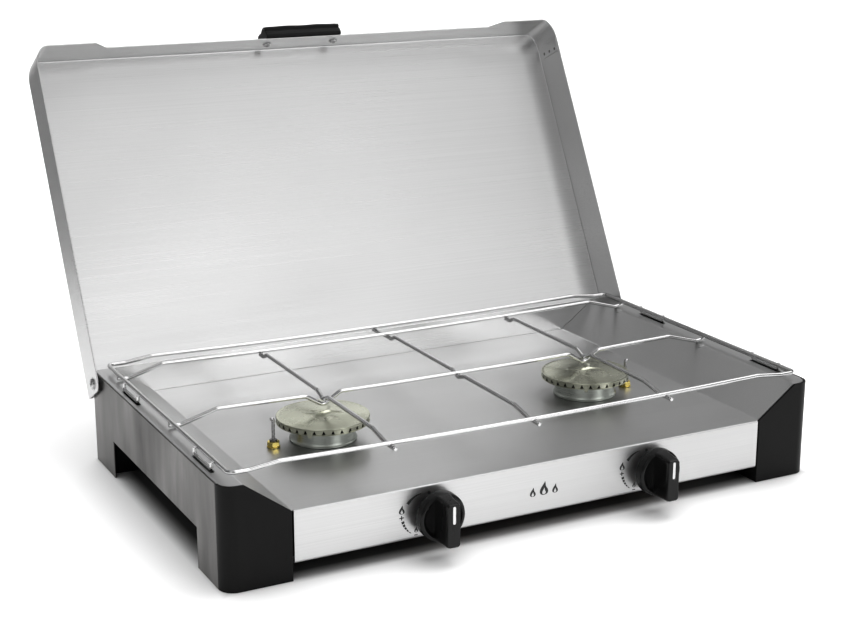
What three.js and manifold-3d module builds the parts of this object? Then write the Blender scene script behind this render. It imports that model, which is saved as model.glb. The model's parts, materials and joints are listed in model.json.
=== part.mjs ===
// Two-burner camping stove with a folding lid. Millimetres, +X right, +Y to the back, +Z up.
// Everything is laid out with y = 0 at the fascia's face and z = 0 at the ground, and the whole
// stove is centred over its bounding box at the end.
import * as THREE from "three";
import { mergeVertices } from "three/addons/utils/BufferGeometryUtils.js";
import Module from "manifold-3d";

const wasm = await Module();
wasm.setup();

// ---- Driving dimensions -------------------------------------------------------------------------
const GAP = 0.3; // between neighbouring pieces
const SHEET = 1; // sheet steel thickness

const HALF_WIDTH = 260;
const DEPTH = 305;
const RIM_Z = 80; // top of the two side ledges
const HOB_Z = 54; // top of the flat hob
const FASCIA_BOTTOM = 13;
const LEDGE = 17.2; // width of a side ledge
const SLOPE_RUN = 35.5; // sideways run of the slope from ledge to hob
const SIDE_CUT_Z = 32; // height of the cut-out between a side's two feet
const FRONT_FOOT = 53.4; // length of a side's front foot
const REAR_FOOT = 50.4;
const CAP_RADIUS = 12; // rounding of the front corner caps
const CAP_DEPTH = 50;
const CAP_WALL = 2.5;
const CAP_FACE = 2; // thickness of the cap's full-height front face

const PIVOT_RADIUS = 2.55; // of the hinge screws' plain shanks
const PIVOT_PLAY = 0.15;

const BURNER_X = { left: -126, right: 120 };
const BURNER_Y = 128;
const CUP_RADIUS = 27;
const CUP_TOP = 68;
const BURNER_CAP_RADIUS = 37.6;
const BURNER_CAP_BOTTOM = 68.6;
const BURNER_CAP_RIM = 73.6;
const BURNER_CAP_TOP = 76.6;
const FLAME_SLOTS = 32;
const SLOT_HALF = 1.25;
const SLOT_LOW = 69.5;
const SLOT_HIGH = 72.6;
const THERMOCOUPLE_X = { left: -169, right: 161 };
const THERMOCOUPLE_Y = 127;
const THERMOCOUPLE_RADIUS = 1.35;
const THERMOCOUPLE_TOP = 78.6;

const TAP_X = { left: -94, right: 99.8 };
const TAP_Z = 32.5;
const KNOB_RADIUS = 19;
const KNOB_BACK = -7; // y of the knob's back face
const KNOB_SHOULDER = -14;
const KNOB_FRONT = -32;
const SPINDLE_RADIUS = 3;
const PLUNGER_FRONT = 14.3;
const PLUNGER_COLLAR = 2;
const SPRING_BACK = 27.7;
const TAP_HALF = 10;
const TAP_HEIGHT = 11; // half of it
const TAP_BACK = 34;
const ARM_LENGTH = 18; // the side arm that carries the injector
const ARM_HEIGHT = 7.5;
const ARM_FRONT = 8;
const ARM_BACK = 26;
const JET_OFFSET = 20;
const JET_RADIUS = 2.5;
const JET_END = 40;
const PLUNGER_RADIUS = 3.1;
const STEM_RADIUS = 2.3;
const STEM_END = 30;
const MAGNET_RADIUS = 6;
const MAGNET_END = 52;
const LEAD_FACE = 54.7;
const RAIL_Y = 20;
const RAIL_Z = 17.2;
const RAIL_RADIUS = 4;
const INLET_X = 150;
const INLET_Z = 35;

const WIRE = 3.4; // diameter of the pot support's wires
const WIRE_STEP = WIRE + GAP; // centre distance of two wires laid on each other
const GRID_HALF = 250;
const GRID_FRONT = 10.5;
const GRID_BACK = 293;
const GRID_SIDE_Z = 86.5; // side wires
const GRID_TOP_Z = 90; // highest wire centres, next to the slopes
const GRID_SAG = 2.5; // the long wires hang this much lower in the middle
const GRID_SHOULDER = 212; // where the long wires reach their full height
const CLIP_RADIUS = 1.5; // the small clips that keep the pot support from sliding
const CLIP_X = GRID_HALF + WIRE / 2 + GAP + CLIP_RADIUS;
const CLIP_ROOM = 3;
const CLIPS = [
  { at: "front", from: 35, to: 70 },
  { at: "rear", from: 201, to: 237 },
];
const BAR_X = 122.5; // the outer length bars, and the dips over the burners
const BAR_BACK_Y = 265;
const BAR_MIDDLE_Y = 135;
const BAR_DIP = 11.1; // depth of the middle bar's dips over the burners
const DIP_HALF = 15; // half width of those dips

const HINGE_Y = 295;
const HINGE_Z = 71.2;
const LID_OPEN = 118.2; // degrees
const LID_HALF = 263.2;
const LID_INSIDE = 22; // from the hinge axis to the lid panel's inner face
const LID_LENGTH = 298.5; // from the hinge axis to the front wall's outer face
const LID_TAIL = 8.5; // behind the hinge axis
const LID_LIP = 5.5; // stiffening lip along the lid's rear edge
const LID_WALL_DEEP = 15; // how far the lid's walls reach past the hinge axis
const LID_WALL_FRONT = 3; // the same, in the middle of the front wall
const LID_CORNER_X = 12;
const LID_CORNER_Y = 21;
const LID_NOTCH_OUTER = 208;
const LID_NOTCH_INNER = 196;
const HANDLE_X = -4;
const HANDLE_HALF = 38;
const HANDLE_OUT = 12.5;
const SCREW_SPREAD = 34;

// ---- Materials ----------------------------------------------------------------------------------
const material = (color, metalness, roughness) =>
  new THREE.MeshStandardMaterial({ color, metalness, roughness });
const STEEL = material(0xc4c4c2, 1, 0.35);
const DARK_STEEL = material(0x6d6b69, 1, 0.45);
const CHROME = material(0xe2e2e2, 1, 0.15);
const ALUMINIUM = material(0xb9bfb4, 1, 0.4);
const CAP_STEEL = material(0x98997f, 1, 0.35);
const BRASS = material(0xc9a63c, 1, 0.3);
const COPPER = material(0xb06a40, 1, 0.35);
const BLACK = material(0x1c1c1c, 0, 0.5);
const WHITE = material(0xf2f2f2, 0, 0.5);

// ---- Geometry helpers ---------------------------------------------------------------------------
const box = (x0, x1, y0, y1, z0, z1) =>
  new THREE.BoxGeometry(x1 - x0, y1 - y0, z1 - z0).translate(
    (x0 + x1) / 2,
    (y0 + y1) / 2,
    (z0 + z1) / 2,
  );

const outline = (points) => new THREE.Shape(points.map(([a, b]) => new THREE.Vector2(a, b)));

const extrude = (shape, depth, curveSegments = 6) =>
  new THREE.ExtrudeGeometry(shape, { depth, bevelEnabled: false, curveSegments });

// A shape drawn in plan, raised from z0 to z1.
const prismZ = (shape, z0, z1, segments) =>
  extrude(shape, z1 - z0, segments).translate(0, 0, z0);

// A shape drawn as (x, z), running from y0 to y1.
const prismY = (shape, y0, y1, segments) =>
  extrude(shape, y1 - y0, segments).rotateX(Math.PI / 2).translate(0, y1, 0);

// A shape drawn as (y, z), running from x0 to x1.
const prismX = (shape, x0, x1, segments) =>
  extrude(shape, x1 - x0, segments).rotateX(Math.PI / 2).rotateZ(Math.PI / 2).translate(x0, 0, 0);

// A closed profile of (radius, height) points turned about +Z.
const lathe = (profile, sides = 24) =>
  new THREE.LatheGeometry(
    [...profile, profile[0]].map(([r, h]) => new THREE.Vector2(r, h)),
    sides,
  ).rotateX(Math.PI / 2);

const disc = (radius, z0, z1, sides = 24) => lathe([[0, z0], [radius, z0], [radius, z1], [0, z1]], sides);

// Turns a lathe's +Z into +Y, and into +X.
const alongY = (geometry) => geometry.rotateX(-Math.PI / 2);
const alongX = (geometry) => geometry.rotateY(Math.PI / 2);

const hexagon = (acrossFlats, z0, z1) => disc(acrossFlats / Math.sqrt(3), z0, z1, 6);

// A path whose stations are exactly its points.
class Stations extends THREE.Curve {
  constructor(points) {
    super();
    this.points = points;
  }
  getPoint(t, target = new THREE.Vector3()) {
    const last = this.points.length - 1;
    const at = Math.min(Math.max(t, 0), 1) * last;
    const i = Math.min(Math.floor(at), last - 1);
    return target.lerpVectors(this.points[i], this.points[i + 1], at - i);
  }
  getUtoTmapping(u) {
    return u;
  }
}

const BEND_STEPS = 2;

// Points of a bent wire: each inner corner becomes a short curve that starts `reach` before it.
function bent(corners, reach) {
  const at = corners.map((c) => new THREE.Vector3(...c));
  const points = [at[0]];
  for (let i = 1; i < at.length - 1; i++) {
    const before = at[i - 1].clone().sub(at[i]);
    const after = at[i + 1].clone().sub(at[i]);
    const start = at[i].clone().add(before.clone().setLength(Math.min(reach, before.length() * 0.45)));
    const end = at[i].clone().add(after.clone().setLength(Math.min(reach, after.length() * 0.45)));
    const curve = new THREE.QuadraticBezierCurve3(start, at[i], end);
    points.push(...curve.getPoints(BEND_STEPS));
  }
  return [...points, at.at(-1)];
}

// A round rod, or a pipe when it has a bore, along a list of points.
function rod(points, radius, sides = 8, bore = 0) {
  const ring = (r) => {
    const corners = [];
    for (let i = 0; i < sides; i++) {
      const a = (i / sides) * 2 * Math.PI;
      corners.push(new THREE.Vector2(r * Math.cos(a), r * Math.sin(a)));
    }
    return corners;
  };
  const section = new THREE.Shape(ring(radius));
  if (bore) section.holes.push(new THREE.Path(ring(bore)));
  return new THREE.ExtrudeGeometry(section, {
    extrudePath: new Stations(points),
    steps: points.length - 1,
    bevelEnabled: false,
  });
}

const wire = (corners, reach = 4, radius = WIRE / 2, sides = 7) => rod(bent(corners, reach), radius, sides);

function toSolid(geometry) {
  const bare = geometry.clone();
  bare.deleteAttribute("normal");
  bare.deleteAttribute("uv");
  const merged = mergeVertices(bare, 1e-4);
  const mesh = new wasm.Mesh({
    numProp: 3,
    vertProperties: merged.attributes.position.array,
    triVerts: new Uint32Array(merged.index.array),
  });
  return new wasm.Manifold(mesh);
}

function toGeometry(solid) {
  const mesh = solid.getMesh();
  const geometry = new THREE.BufferGeometry();
  geometry.setAttribute("position", new THREE.BufferAttribute(mesh.vertProperties, 3));
  geometry.setIndex(new THREE.BufferAttribute(mesh.triVerts, 1));
  geometry.computeVertexNormals();
  return geometry;
}

const join = (first, ...others) =>
  toGeometry(others.reduce((solid, other) => solid.add(toSolid(other)), toSolid(first)));
const cut = (first, ...others) =>
  toGeometry(others.reduce((solid, other) => solid.subtract(toSolid(other)), toSolid(first)));
const common = (first, ...others) =>
  toGeometry(others.reduce((solid, other) => solid.intersect(toSolid(other)), toSolid(first)));

// ---- The object ---------------------------------------------------------------------------------
const stove = new THREE.Group();
const lid = new THREE.Group();
lid.position.set(0, HINGE_Y, HINGE_Z);
lid.rotation.x = THREE.MathUtils.degToRad(-LID_OPEN);
stove.add(lid);

function piece(name, geometry, look, parent = stove) {
  const mesh = new THREE.Mesh(geometry, look);
  mesh.name = name;
  parent.add(mesh);
  return mesh;
}

const SIDES = [
  { side: "left", sign: -1 },
  { side: "right", sign: 1 },
];
const between = (sign, a, b) => (sign > 0 ? [a, b] : [-b, -a]);

// ---- Body ---------------------------------------------------------------------------------------
const slopeTop = HALF_WIDTH - LEDGE;
const hobEdge = slopeTop - SLOPE_RUN;
const trayHalf = HALF_WIDTH - SHEET - GAP;

// Front view of everything below the tray's top surface, lowered by `drop`.
function underTray(halfWidth, drop, bottom) {
  return outline([
    [-halfWidth, bottom],
    [halfWidth, bottom],
    [halfWidth, RIM_Z - drop],
    [slopeTop, RIM_Z - drop],
    [hobEdge, HOB_Z - drop],
    [-hobEdge, HOB_Z - drop],
    [-slopeTop, RIM_Z - drop],
    [-halfWidth, RIM_Z - drop],
  ]);
}

const tapHoles = SIDES.map(({ side }) =>
  alongY(disc(SPINDLE_RADIUS + 2, -5, 5)).translate(TAP_X[side], 0, TAP_Z),
);

// Plan of the tray, whose front corners follow the inside of the caps' rims.
function trayPlan() {
  const inset = CAP_FACE + GAP;
  const step = CAP_RADIUS + GAP;
  const centre = HALF_WIDTH - CAP_RADIUS;
  const shape = new THREE.Shape();
  shape.moveTo(-trayHalf, DEPTH);
  shape.lineTo(-trayHalf, step);
  shape.lineTo(-HALF_WIDTH + inset, step);
  shape.absarc(-centre, CAP_RADIUS, CAP_RADIUS - inset, Math.PI, 1.5 * Math.PI, false);
  shape.absarc(centre, CAP_RADIUS, CAP_RADIUS - inset, 1.5 * Math.PI, 2 * Math.PI, false);
  shape.lineTo(HALF_WIDTH - inset, step);
  shape.lineTo(trayHalf, step);
  shape.lineTo(trayHalf, DEPTH);
  return shape;
}

// The slot in a side ledge that a clip of the pot support stands over.
function clipSlot(sign, from, to) {
  const slotHalf = CLIP_RADIUS + CLIP_ROOM / 2;
  const [x0, x1] = between(sign, CLIP_X - slotHalf, CLIP_X + slotHalf);
  return box(x0, x1, from - CLIP_ROOM, to + CLIP_ROOM, RIM_Z - 5, RIM_Z + 5);
}

function hobTray() {
  const fasciaHalf = hobEdge - GAP;
  const back = DEPTH - SHEET - GAP;
  const sheet = cut(
    prismY(underTray(trayHalf, 0, 40), CAP_FACE + GAP, back),
    prismY(underTray(trayHalf + 5, SHEET, 30), -5, DEPTH),
  );
  const folded = join(
    common(sheet, prismZ(trayPlan(), 0, RIM_Z + 1, 8)),
    box(-fasciaHalf, fasciaHalf, 0, CAP_FACE + GAP + 1, HOB_Z - SHEET, HOB_Z),
    box(-fasciaHalf, fasciaHalf, 0, SHEET, FASCIA_BOTTOM, HOB_Z),
    box(-fasciaHalf, fasciaHalf, 0, 12, FASCIA_BOTTOM, FASCIA_BOTTOM + SHEET),
  );
  const holes = SIDES.flatMap(({ side, sign }) => [
    disc(9.5, HOB_Z - 5, HOB_Z + 5).translate(BURNER_X[side], BURNER_Y, 0),
    disc(3.3, HOB_Z - 5, HOB_Z + 5, 12).translate(THERMOCOUPLE_X[side], THERMOCOUPLE_Y, 0),
    ...CLIPS.map(({ from, to }) => clipSlot(sign, from, to)),
  ]);
  return cut(folded, ...holes, ...tapHoles);
}

function sidePanel(sign) {
  const front = CAP_RADIUS + GAP;
  const profile = outline([
    [front, 0],
    [FRONT_FOOT, 0],
    [FRONT_FOOT, SIDE_CUT_Z],
    [DEPTH - REAR_FOOT, SIDE_CUT_Z],
    [DEPTH - REAR_FOOT, 0],
    [DEPTH, 0],
    [DEPTH, RIM_Z],
    [front, RIM_Z],
  ]);
  const plate = prismX(profile, ...between(sign, HALF_WIDTH - SHEET, HALF_WIDTH));
  const [x0, x1] = between(sign, HALF_WIDTH - 9, HALF_WIDTH);
  const returnFold = box(x0, x1, FRONT_FOOT + 2, DEPTH - REAR_FOOT - 2, SIDE_CUT_Z, SIDE_CUT_Z + SHEET);
  const hole = alongX(disc(PIVOT_RADIUS + PIVOT_PLAY, -HALF_WIDTH - 5, HALF_WIDTH + 5, 16)).translate(0, HINGE_Y, HINGE_Z);
  return cut(join(plate, returnFold), hole);
}

function backPanel() {
  const plate = box(-trayHalf, trayHalf, DEPTH - SHEET, DEPTH, FASCIA_BOTTOM, RIM_Z);
  const fold = box(-hobEdge, hobEdge, DEPTH - 12, DEPTH, FASCIA_BOTTOM, FASCIA_BOTTOM + SHEET);
  const inlet = alongY(disc(8, DEPTH - 5, DEPTH + 5)).translate(INLET_X, 0, INLET_Z);
  return cut(join(plate, fold), inlet);
}

function frontCap(sign) {
  const plan = (inset, back, radius) => {
    const shape = new THREE.Shape();
    const outer = HALF_WIDTH - inset;
    shape.moveTo(hobEdge + inset, inset);
    shape.lineTo(outer - radius, inset);
    shape.absarc(outer - radius, inset + radius, radius, -Math.PI / 2, 0, false);
    shape.lineTo(outer, CAP_RADIUS);
    shape.lineTo(trayHalf - inset, CAP_RADIUS);
    shape.lineTo(trayHalf - inset, back);
    shape.lineTo(hobEdge + inset, back);
    return shape;
  };
  const underSheet = prismY(underTray(HALF_WIDTH + 1, SHEET + GAP, -1), -1, CAP_DEPTH + 1);
  const inside = new THREE.Shape();
  inside.moveTo(hobEdge - 1, CAP_FACE);
  inside.lineTo(HALF_WIDTH - CAP_RADIUS, CAP_FACE);
  inside.absarc(HALF_WIDTH - CAP_RADIUS, CAP_RADIUS, CAP_RADIUS - CAP_FACE, -Math.PI / 2, 0, false);
  inside.lineTo(HALF_WIDTH - CAP_FACE, CAP_RADIUS + 1);
  inside.lineTo(hobEdge - 1, CAP_RADIUS + 1);
  const frontPart = prismY(underTray(HALF_WIDTH + 1, 0, -1), -1, CAP_RADIUS);
  const rim = cut(frontPart, prismZ(inside, -2, RIM_Z + 2, 8));
  const envelope = join(underSheet, rim);
  const block = common(prismZ(plan(0, CAP_DEPTH, CAP_RADIUS), 0, RIM_Z, 8), envelope);
  const hollow = common(
    prismZ(plan(CAP_WALL, CAP_DEPTH + 5, CAP_RADIUS - CAP_WALL), -1, RIM_Z, 8),
    prismY(underTray(HALF_WIDTH + 1, SHEET + GAP + CAP_WALL, -1), -1, CAP_DEPTH + 5),
  );
  const cap = cut(block, hollow);
  return sign > 0 ? cap : mirrored(cap);
}

// The same shape on the other side of x = 0, its faces still pointing out.
function mirrored(geometry) {
  const flipped = geometry.clone().scale(-1, 1, 1);
  const index = flipped.index.array;
  for (let i = 0; i < index.length; i += 3) [index[i + 1], index[i + 2]] = [index[i + 2], index[i + 1]];
  flipped.computeVertexNormals();
  return flipped;
}

const FOOT_BLOCK = { width: 30, depth: 40, height: 62 };
const SCREW_ROOM = 12; // room in a rear foot around the hinge screw's nut

function rearFoot(sign) {
  const outer = HALF_WIDTH - SHEET - GAP;
  const inner = outer - FOOT_BLOCK.width;
  const back = DEPTH - SHEET - GAP;
  const front = back - FOOT_BLOCK.depth;
  const { height } = FOOT_BLOCK;
  const solid = box(...between(sign, inner, outer), front, back, 0, height);
  const hollow = box(
    ...between(sign, inner + CAP_WALL, outer - CAP_WALL),
    front + CAP_WALL,
    back - CAP_WALL,
    CAP_WALL,
    height + 1,
  );
  const screwRoom = box(
    ...between(sign, outer - SCREW_ROOM, outer + 1),
    HINGE_Y - SCREW_ROOM,
    HINGE_Y + SCREW_ROOM,
    height - 4,
    height + 1,
  );
  return cut(solid, hollow, screwRoom);
}

const BRACE_WIDTH = 14;
const BRACE_HEIGHT = 10.7;

// A channel under the hob, open below, that carries the burners.
function crossBrace(y) {
  const half = hobEdge + 2;
  const top = HOB_Z - SHEET - GAP;
  const bottom = top - BRACE_HEIGHT;
  return join(
    box(-half, half, y, y + BRACE_WIDTH, top - SHEET, top),
    box(-half, half, y, y + SHEET, bottom, top),
    box(-half, half, y + BRACE_WIDTH - SHEET, y + BRACE_WIDTH, bottom, top),
  );
}

piece("hob_tray", hobTray(), STEEL);
piece("back_panel", backPanel(), STEEL);
piece("burner_brace", crossBrace(BURNER_Y + 22), DARK_STEEL);
for (const { side, sign } of SIDES) {
  piece(`${side}_side_panel`, sidePanel(sign), DARK_STEEL);
  piece(`${side}_front_cap`, frontCap(sign), BLACK);
  piece(`${side}_rear_foot`, rearFoot(sign), BLACK);
}

// ---- Burners ------------------------------------------------------------------------------------
function burnerCup() {
  const base = HOB_Z + GAP;
  return lathe([
    [7, 41],
    [9, 41],
    [9, base],
    [CUP_RADIUS, base],
    [CUP_RADIUS, CUP_TOP],
    [CUP_RADIUS - 1.5, CUP_TOP],
    [CUP_RADIUS - 2.5, base + 2.5],
    [7, base + 2.5],
  ], 32);
}

function burnerCap() {
  const inner = BURNER_CAP_RADIUS - 1.5;
  const lens = lathe([
    [0, BURNER_CAP_RIM - 1],
    [inner, BURNER_CAP_RIM - 1.6],
    [inner, BURNER_CAP_BOTTOM],
    [BURNER_CAP_RADIUS, BURNER_CAP_BOTTOM],
    [BURNER_CAP_RADIUS, BURNER_CAP_RIM - 0.6],
    [BURNER_CAP_RADIUS - 0.8, BURNER_CAP_RIM],
    [BURNER_CAP_RADIUS * 0.66, (BURNER_CAP_RIM * 1.1 + BURNER_CAP_TOP * 0.9) / 2 + 0.6],
    [BURNER_CAP_RADIUS * 0.33, BURNER_CAP_TOP - 0.5],
    [0, BURNER_CAP_TOP],
  ], 30);
  const seat = lathe([
    [CUP_RADIUS - 7, CUP_TOP - 6],
    [CUP_RADIUS - 5, CUP_TOP - 6],
    [CUP_RADIUS - 5, BURNER_CAP_RIM - 1],
    [CUP_RADIUS - 7, BURNER_CAP_RIM - 1],
  ], 30);
  const slots = [];
  for (let i = 0; i < FLAME_SLOTS; i++) {
    const slot = prismX(
      outline([[-SLOT_HALF, SLOT_LOW], [SLOT_HALF, SLOT_LOW], [0, SLOT_HIGH]]),
      inner - 3,
      BURNER_CAP_RADIUS + 3,
    );
    slots.push(slot.rotateZ(((i + 0.5) / FLAME_SLOTS) * 2 * Math.PI));
  }
  return cut(join(lens, seat), ...slots);
}

function mixingTube(side, sign) {
  const inlet = TAP_X[side] + sign * JET_OFFSET;
  const tube = rod(
    bent([
      [inlet, 46, TAP_Z],
      [inlet, 62, TAP_Z],
      [BURNER_X[side], 104, TAP_Z - 4],
      [BURNER_X[side], BURNER_Y, TAP_Z - 4],
      [BURNER_X[side], BURNER_Y, 41 - GAP],
    ], 9),
    7.5,
    12,
    6,
  );
  return tube;
}

function thermocouple() {
  return lathe([
    [0, HOB_Z - 8],
    [THERMOCOUPLE_RADIUS, HOB_Z - 8],
    [THERMOCOUPLE_RADIUS, THERMOCOUPLE_TOP - 0.6],
    [THERMOCOUPLE_RADIUS - 0.5, THERMOCOUPLE_TOP],
    [0, THERMOCOUPLE_TOP],
  ], 12);
}

function thermocoupleNut() {
  const bore = disc(THERMOCOUPLE_RADIUS + GAP, HOB_Z - 5, HOB_Z + 20, 12);
  const nut = join(
    hexagon(9, HOB_Z + GAP, HOB_Z + 4.6),
    disc(3, HOB_Z - 4, HOB_Z + 1, 12),
    disc(3.4, HOB_Z + 4, HOB_Z + 6.4, 12),
  );
  return cut(nut, bore);
}

for (const { side, sign } of SIDES) {
  const centre = BURNER_X[side];
  const probe = THERMOCOUPLE_X[side];
  const tap = TAP_X[side];
  piece(`${side}_burner_cup`, burnerCup(), ALUMINIUM).position.set(centre, BURNER_Y, 0);
  piece(`${side}_burner_cap`, burnerCap(), CAP_STEEL).position.set(centre, BURNER_Y, 0);
  piece(`${side}_mixing_tube`, mixingTube(side, sign), ALUMINIUM);
  piece(`${side}_thermocouple`, thermocouple(), STEEL).position.set(probe, THERMOCOUPLE_Y, 0);
  piece(`${side}_thermocouple_nut`, thermocoupleNut(), BRASS).position.set(probe, THERMOCOUPLE_Y, 0);
  const lead = [
    [probe, THERMOCOUPLE_Y, HOB_Z - 8 - GAP],
    [probe, THERMOCOUPLE_Y, 30],
    [tap + sign * 36, 74, 20],
    [tap, 74, 24],
    [tap, 74, TAP_Z],
    [tap, LEAD_FACE + GAP, TAP_Z],
  ];
  piece(`${side}_thermocouple_lead`, wire(lead, 8, 1.2, 8), COPPER);
}

// ---- Gas taps and rail --------------------------------------------------------------------------
function tapBody(sign) {
  const boxes = join(
    box(-TAP_HALF, TAP_HALF, 2 * SHEET, TAP_BACK, -TAP_HEIGHT, TAP_HEIGHT),
    box(...between(sign, TAP_HALF - 1, TAP_HALF + ARM_LENGTH), ARM_FRONT, ARM_BACK, -ARM_HEIGHT, ARM_HEIGHT),
  );
  const bore = alongY(disc(PLUNGER_RADIUS + 0.4, -5, SPRING_BACK + GAP, 16));
  const through = alongY(disc(STEM_RADIUS + 0.4, 0, TAP_BACK + 5, 16));
  const railSeat = alongX(disc(RAIL_RADIUS + GAP, -40, 40, 16)).translate(0, RAIL_Y, RAIL_Z - TAP_Z);
  const jetHole = disc(JET_RADIUS + GAP, ARM_BACK - 6, ARM_BACK + 5, 12);
  const jetBore = alongY(jetHole).translate(sign * JET_OFFSET, 0, 0);
  return cut(boxes, bore, through, railSeat, jetBore);
}

function injector() {
  const thread = disc(JET_RADIUS, ARM_BACK - 5.5, ARM_BACK + 1, 12);
  const head = hexagon(8, ARM_BACK + GAP, ARM_BACK + 7);
  const nose = lathe([[0, ARM_BACK + 6], [3, ARM_BACK + 6], [1.8, JET_END], [0, JET_END]], 12);
  return alongY(join(thread, head, nose));
}

const magnetUnit = () =>
  alongY(
    join(
      hexagon(14, TAP_BACK + 3, TAP_BACK + 8),
      disc(3.2, TAP_BACK + GAP, TAP_BACK + 4, 12),
      disc(MAGNET_RADIUS, TAP_BACK + 7, MAGNET_END, 16),
      disc(4, MAGNET_END - 1, LEAD_FACE, 12),
    ),
  );

function returnSpring() {
  const turns = 5;
  const perTurn = 9;
  const radius = 2.95;
  const thickness = 0.5;
  const play = 0.3; // between the coil and what it presses on
  const front = PLUNGER_FRONT + PLUNGER_COLLAR + GAP + play;
  const points = [];
  for (let i = 0; i <= turns * perTurn; i++) {
    const a = (i / perTurn) * 2 * Math.PI;
    const y = front + ((SPRING_BACK - play - front) * i) / (turns * perTurn);
    points.push(new THREE.Vector3(radius * Math.cos(a), y, radius * Math.sin(a)));
  }
  return rod(points, thickness / 2, 5);
}

function plunger() {
  return alongY(
    lathe([
      [0, PLUNGER_FRONT],
      [PLUNGER_RADIUS, PLUNGER_FRONT],
      [PLUNGER_RADIUS, PLUNGER_FRONT + PLUNGER_COLLAR],
      [STEM_RADIUS, PLUNGER_FRONT + PLUNGER_COLLAR],
      [STEM_RADIUS, STEM_END],
      [0, STEM_END],
    ], 16),
  );
}

const KNOB_BORE_END = -27;
const MARK_HALF = 1.15;
const MARK_BOTTOM = 1; // above the knob's axis
const MARK_TOP = 14.8;
const MARK_DEPTH = 1;

function knob() {
  const round = alongY(
    lathe([
      [0, KNOB_BACK],
      [KNOB_RADIUS - 0.6, KNOB_BACK],
      [KNOB_RADIUS, KNOB_BACK - 0.8],
      [KNOB_RADIUS, KNOB_SHOULDER + 2],
      [KNOB_RADIUS - 1.2, KNOB_SHOULDER],
      [KNOB_RADIUS - 7, KNOB_SHOULDER - 3],
      [0, KNOB_SHOULDER - 4],
    ].reverse(), 40),
  );
  const grip = prismX(
    outline([
      [KNOB_SHOULDER + 1, -KNOB_RADIUS + 0.4],
      [KNOB_SHOULDER + 1, KNOB_RADIUS - 0.4],
      [KNOB_SHOULDER - 2, KNOB_RADIUS - 0.7],
      [KNOB_FRONT, KNOB_RADIUS - 2.9],
      [KNOB_FRONT, -KNOB_RADIUS + 1.4],
      [KNOB_SHOULDER - 2, -KNOB_RADIUS + 0.5],
    ].reverse()),
    -6,
    6,
  );
  const bore = alongY(disc(SPINDLE_RADIUS + GAP, KNOB_BORE_END, 5, 16));
  const markRecess = box(
    -MARK_HALF - GAP,
    MARK_HALF + GAP,
    KNOB_FRONT - 5,
    KNOB_FRONT + MARK_DEPTH,
    MARK_BOTTOM - GAP,
    MARK_TOP + GAP,
  );
  return cut(join(round, grip), bore, markRecess);
}

const knobMark = () =>
  box(-MARK_HALF, MARK_HALF, KNOB_FRONT, KNOB_FRONT + MARK_DEPTH - GAP, MARK_BOTTOM, MARK_TOP);

const spindle = () => alongY(disc(SPINDLE_RADIUS, KNOB_BORE_END + GAP, PLUNGER_FRONT - GAP, 16));

for (const { side, sign } of SIDES) {
  const tap = new THREE.Group();
  tap.position.set(TAP_X[side], 0, TAP_Z);
  stove.add(tap);
  piece(`${side}_tap_body`, tapBody(sign), BRASS, tap);
  piece(`${side}_injector`, injector(), BRASS, tap).position.set(sign * JET_OFFSET, 0, 0);
  piece(`${side}_magnet_unit`, magnetUnit(), STEEL, tap);
  piece(`${side}_return_spring`, returnSpring(), STEEL, tap);
  piece(`${side}_plunger`, plunger(), STEEL, tap);
  piece(`${side}_spindle`, spindle(), STEEL, tap);
  piece(`${side}_knob`, knob(), BLACK, tap);
  piece(`${side}_knob_mark`, knobMark(), WHITE, tap);
}

function gasRail() {
  return rod(
    bent([
      [TAP_X.left - 18, RAIL_Y, RAIL_Z],
      [INLET_X, RAIL_Y, RAIL_Z],
      [INLET_X, 240, RAIL_Z],
      [INLET_X, 270, INLET_Z],
      [INLET_X, DEPTH - 14 - GAP, INLET_Z],
    ], 14),
    RAIL_RADIUS,
    10,
  );
}

function gasInlet() {
  const fitting = join(
    disc(5.5, DEPTH - 14, DEPTH - 8, 20),
    hexagon(17, DEPTH - 9, DEPTH - SHEET - GAP),
    disc(6.5, DEPTH - 3, DEPTH + 16, 20),
  );
  return alongY(cut(fitting, disc(3.2, DEPTH - 6, DEPTH + 20, 16))).translate(INLET_X, 0, INLET_Z);
}

piece("gas_rail", gasRail(), COPPER);
piece("gas_inlet", gasInlet(), BRASS);

// ---- Pot support --------------------------------------------------------------------------------
// Height of the long wires over the hob: level at the shoulders, lowest in the middle.
const topAt = (x) => GRID_TOP_Z - GRID_SAG * (1 - (x / GRID_SHOULDER) ** 2);
const SPAN_STATIONS = [-160, -110, -55, 0, 55, 110, 160];

function outerWire(y) {
  const z = (x) => topAt(x) - 0.8;
  const half = GRID_HALF + WIRE / 2;
  return wire([
    [-half, y, GRID_SIDE_Z],
    [-GRID_HALF + 15, y, GRID_SIDE_Z],
    [-GRID_SHOULDER, y, z(GRID_SHOULDER)],
    ...SPAN_STATIONS.map((x) => [x, y, z(x)]),
    [GRID_SHOULDER, y, z(GRID_SHOULDER)],
    [GRID_HALF - 15, y, GRID_SIDE_Z],
    [half, y, GRID_SIDE_Z],
  ], 6);
}

function crossBar(y, dips) {
  const end = GRID_HALF + 1;
  const under = GRID_SIDE_Z - WIRE_STEP;
  const rise = [
    [-end, y, under],
    [-GRID_HALF + 8, y, under - 1.2],
    [-GRID_SHOULDER, y, GRID_TOP_Z],
  ];
  const dip = (x) => [
    [x - DIP_HALF, y, topAt(x)],
    [x, y, GRID_TOP_Z - BAR_DIP],
    [x + DIP_HALF, y, topAt(x)],
  ];
  const middle = dips
    ? [[-165, y, topAt(165)], ...dip(-BAR_X), [-60, y, topAt(60)], [60, y, topAt(60)], ...dip(BAR_X),
      [165, y, topAt(165)]]
    : SPAN_STATIONS.map((x) => [x, y, topAt(x)]);
  const fall = rise.map(([x, , z]) => [-x, y, z]).reverse();
  return wire([...rise, ...middle, ...fall], 5);
}

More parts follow.
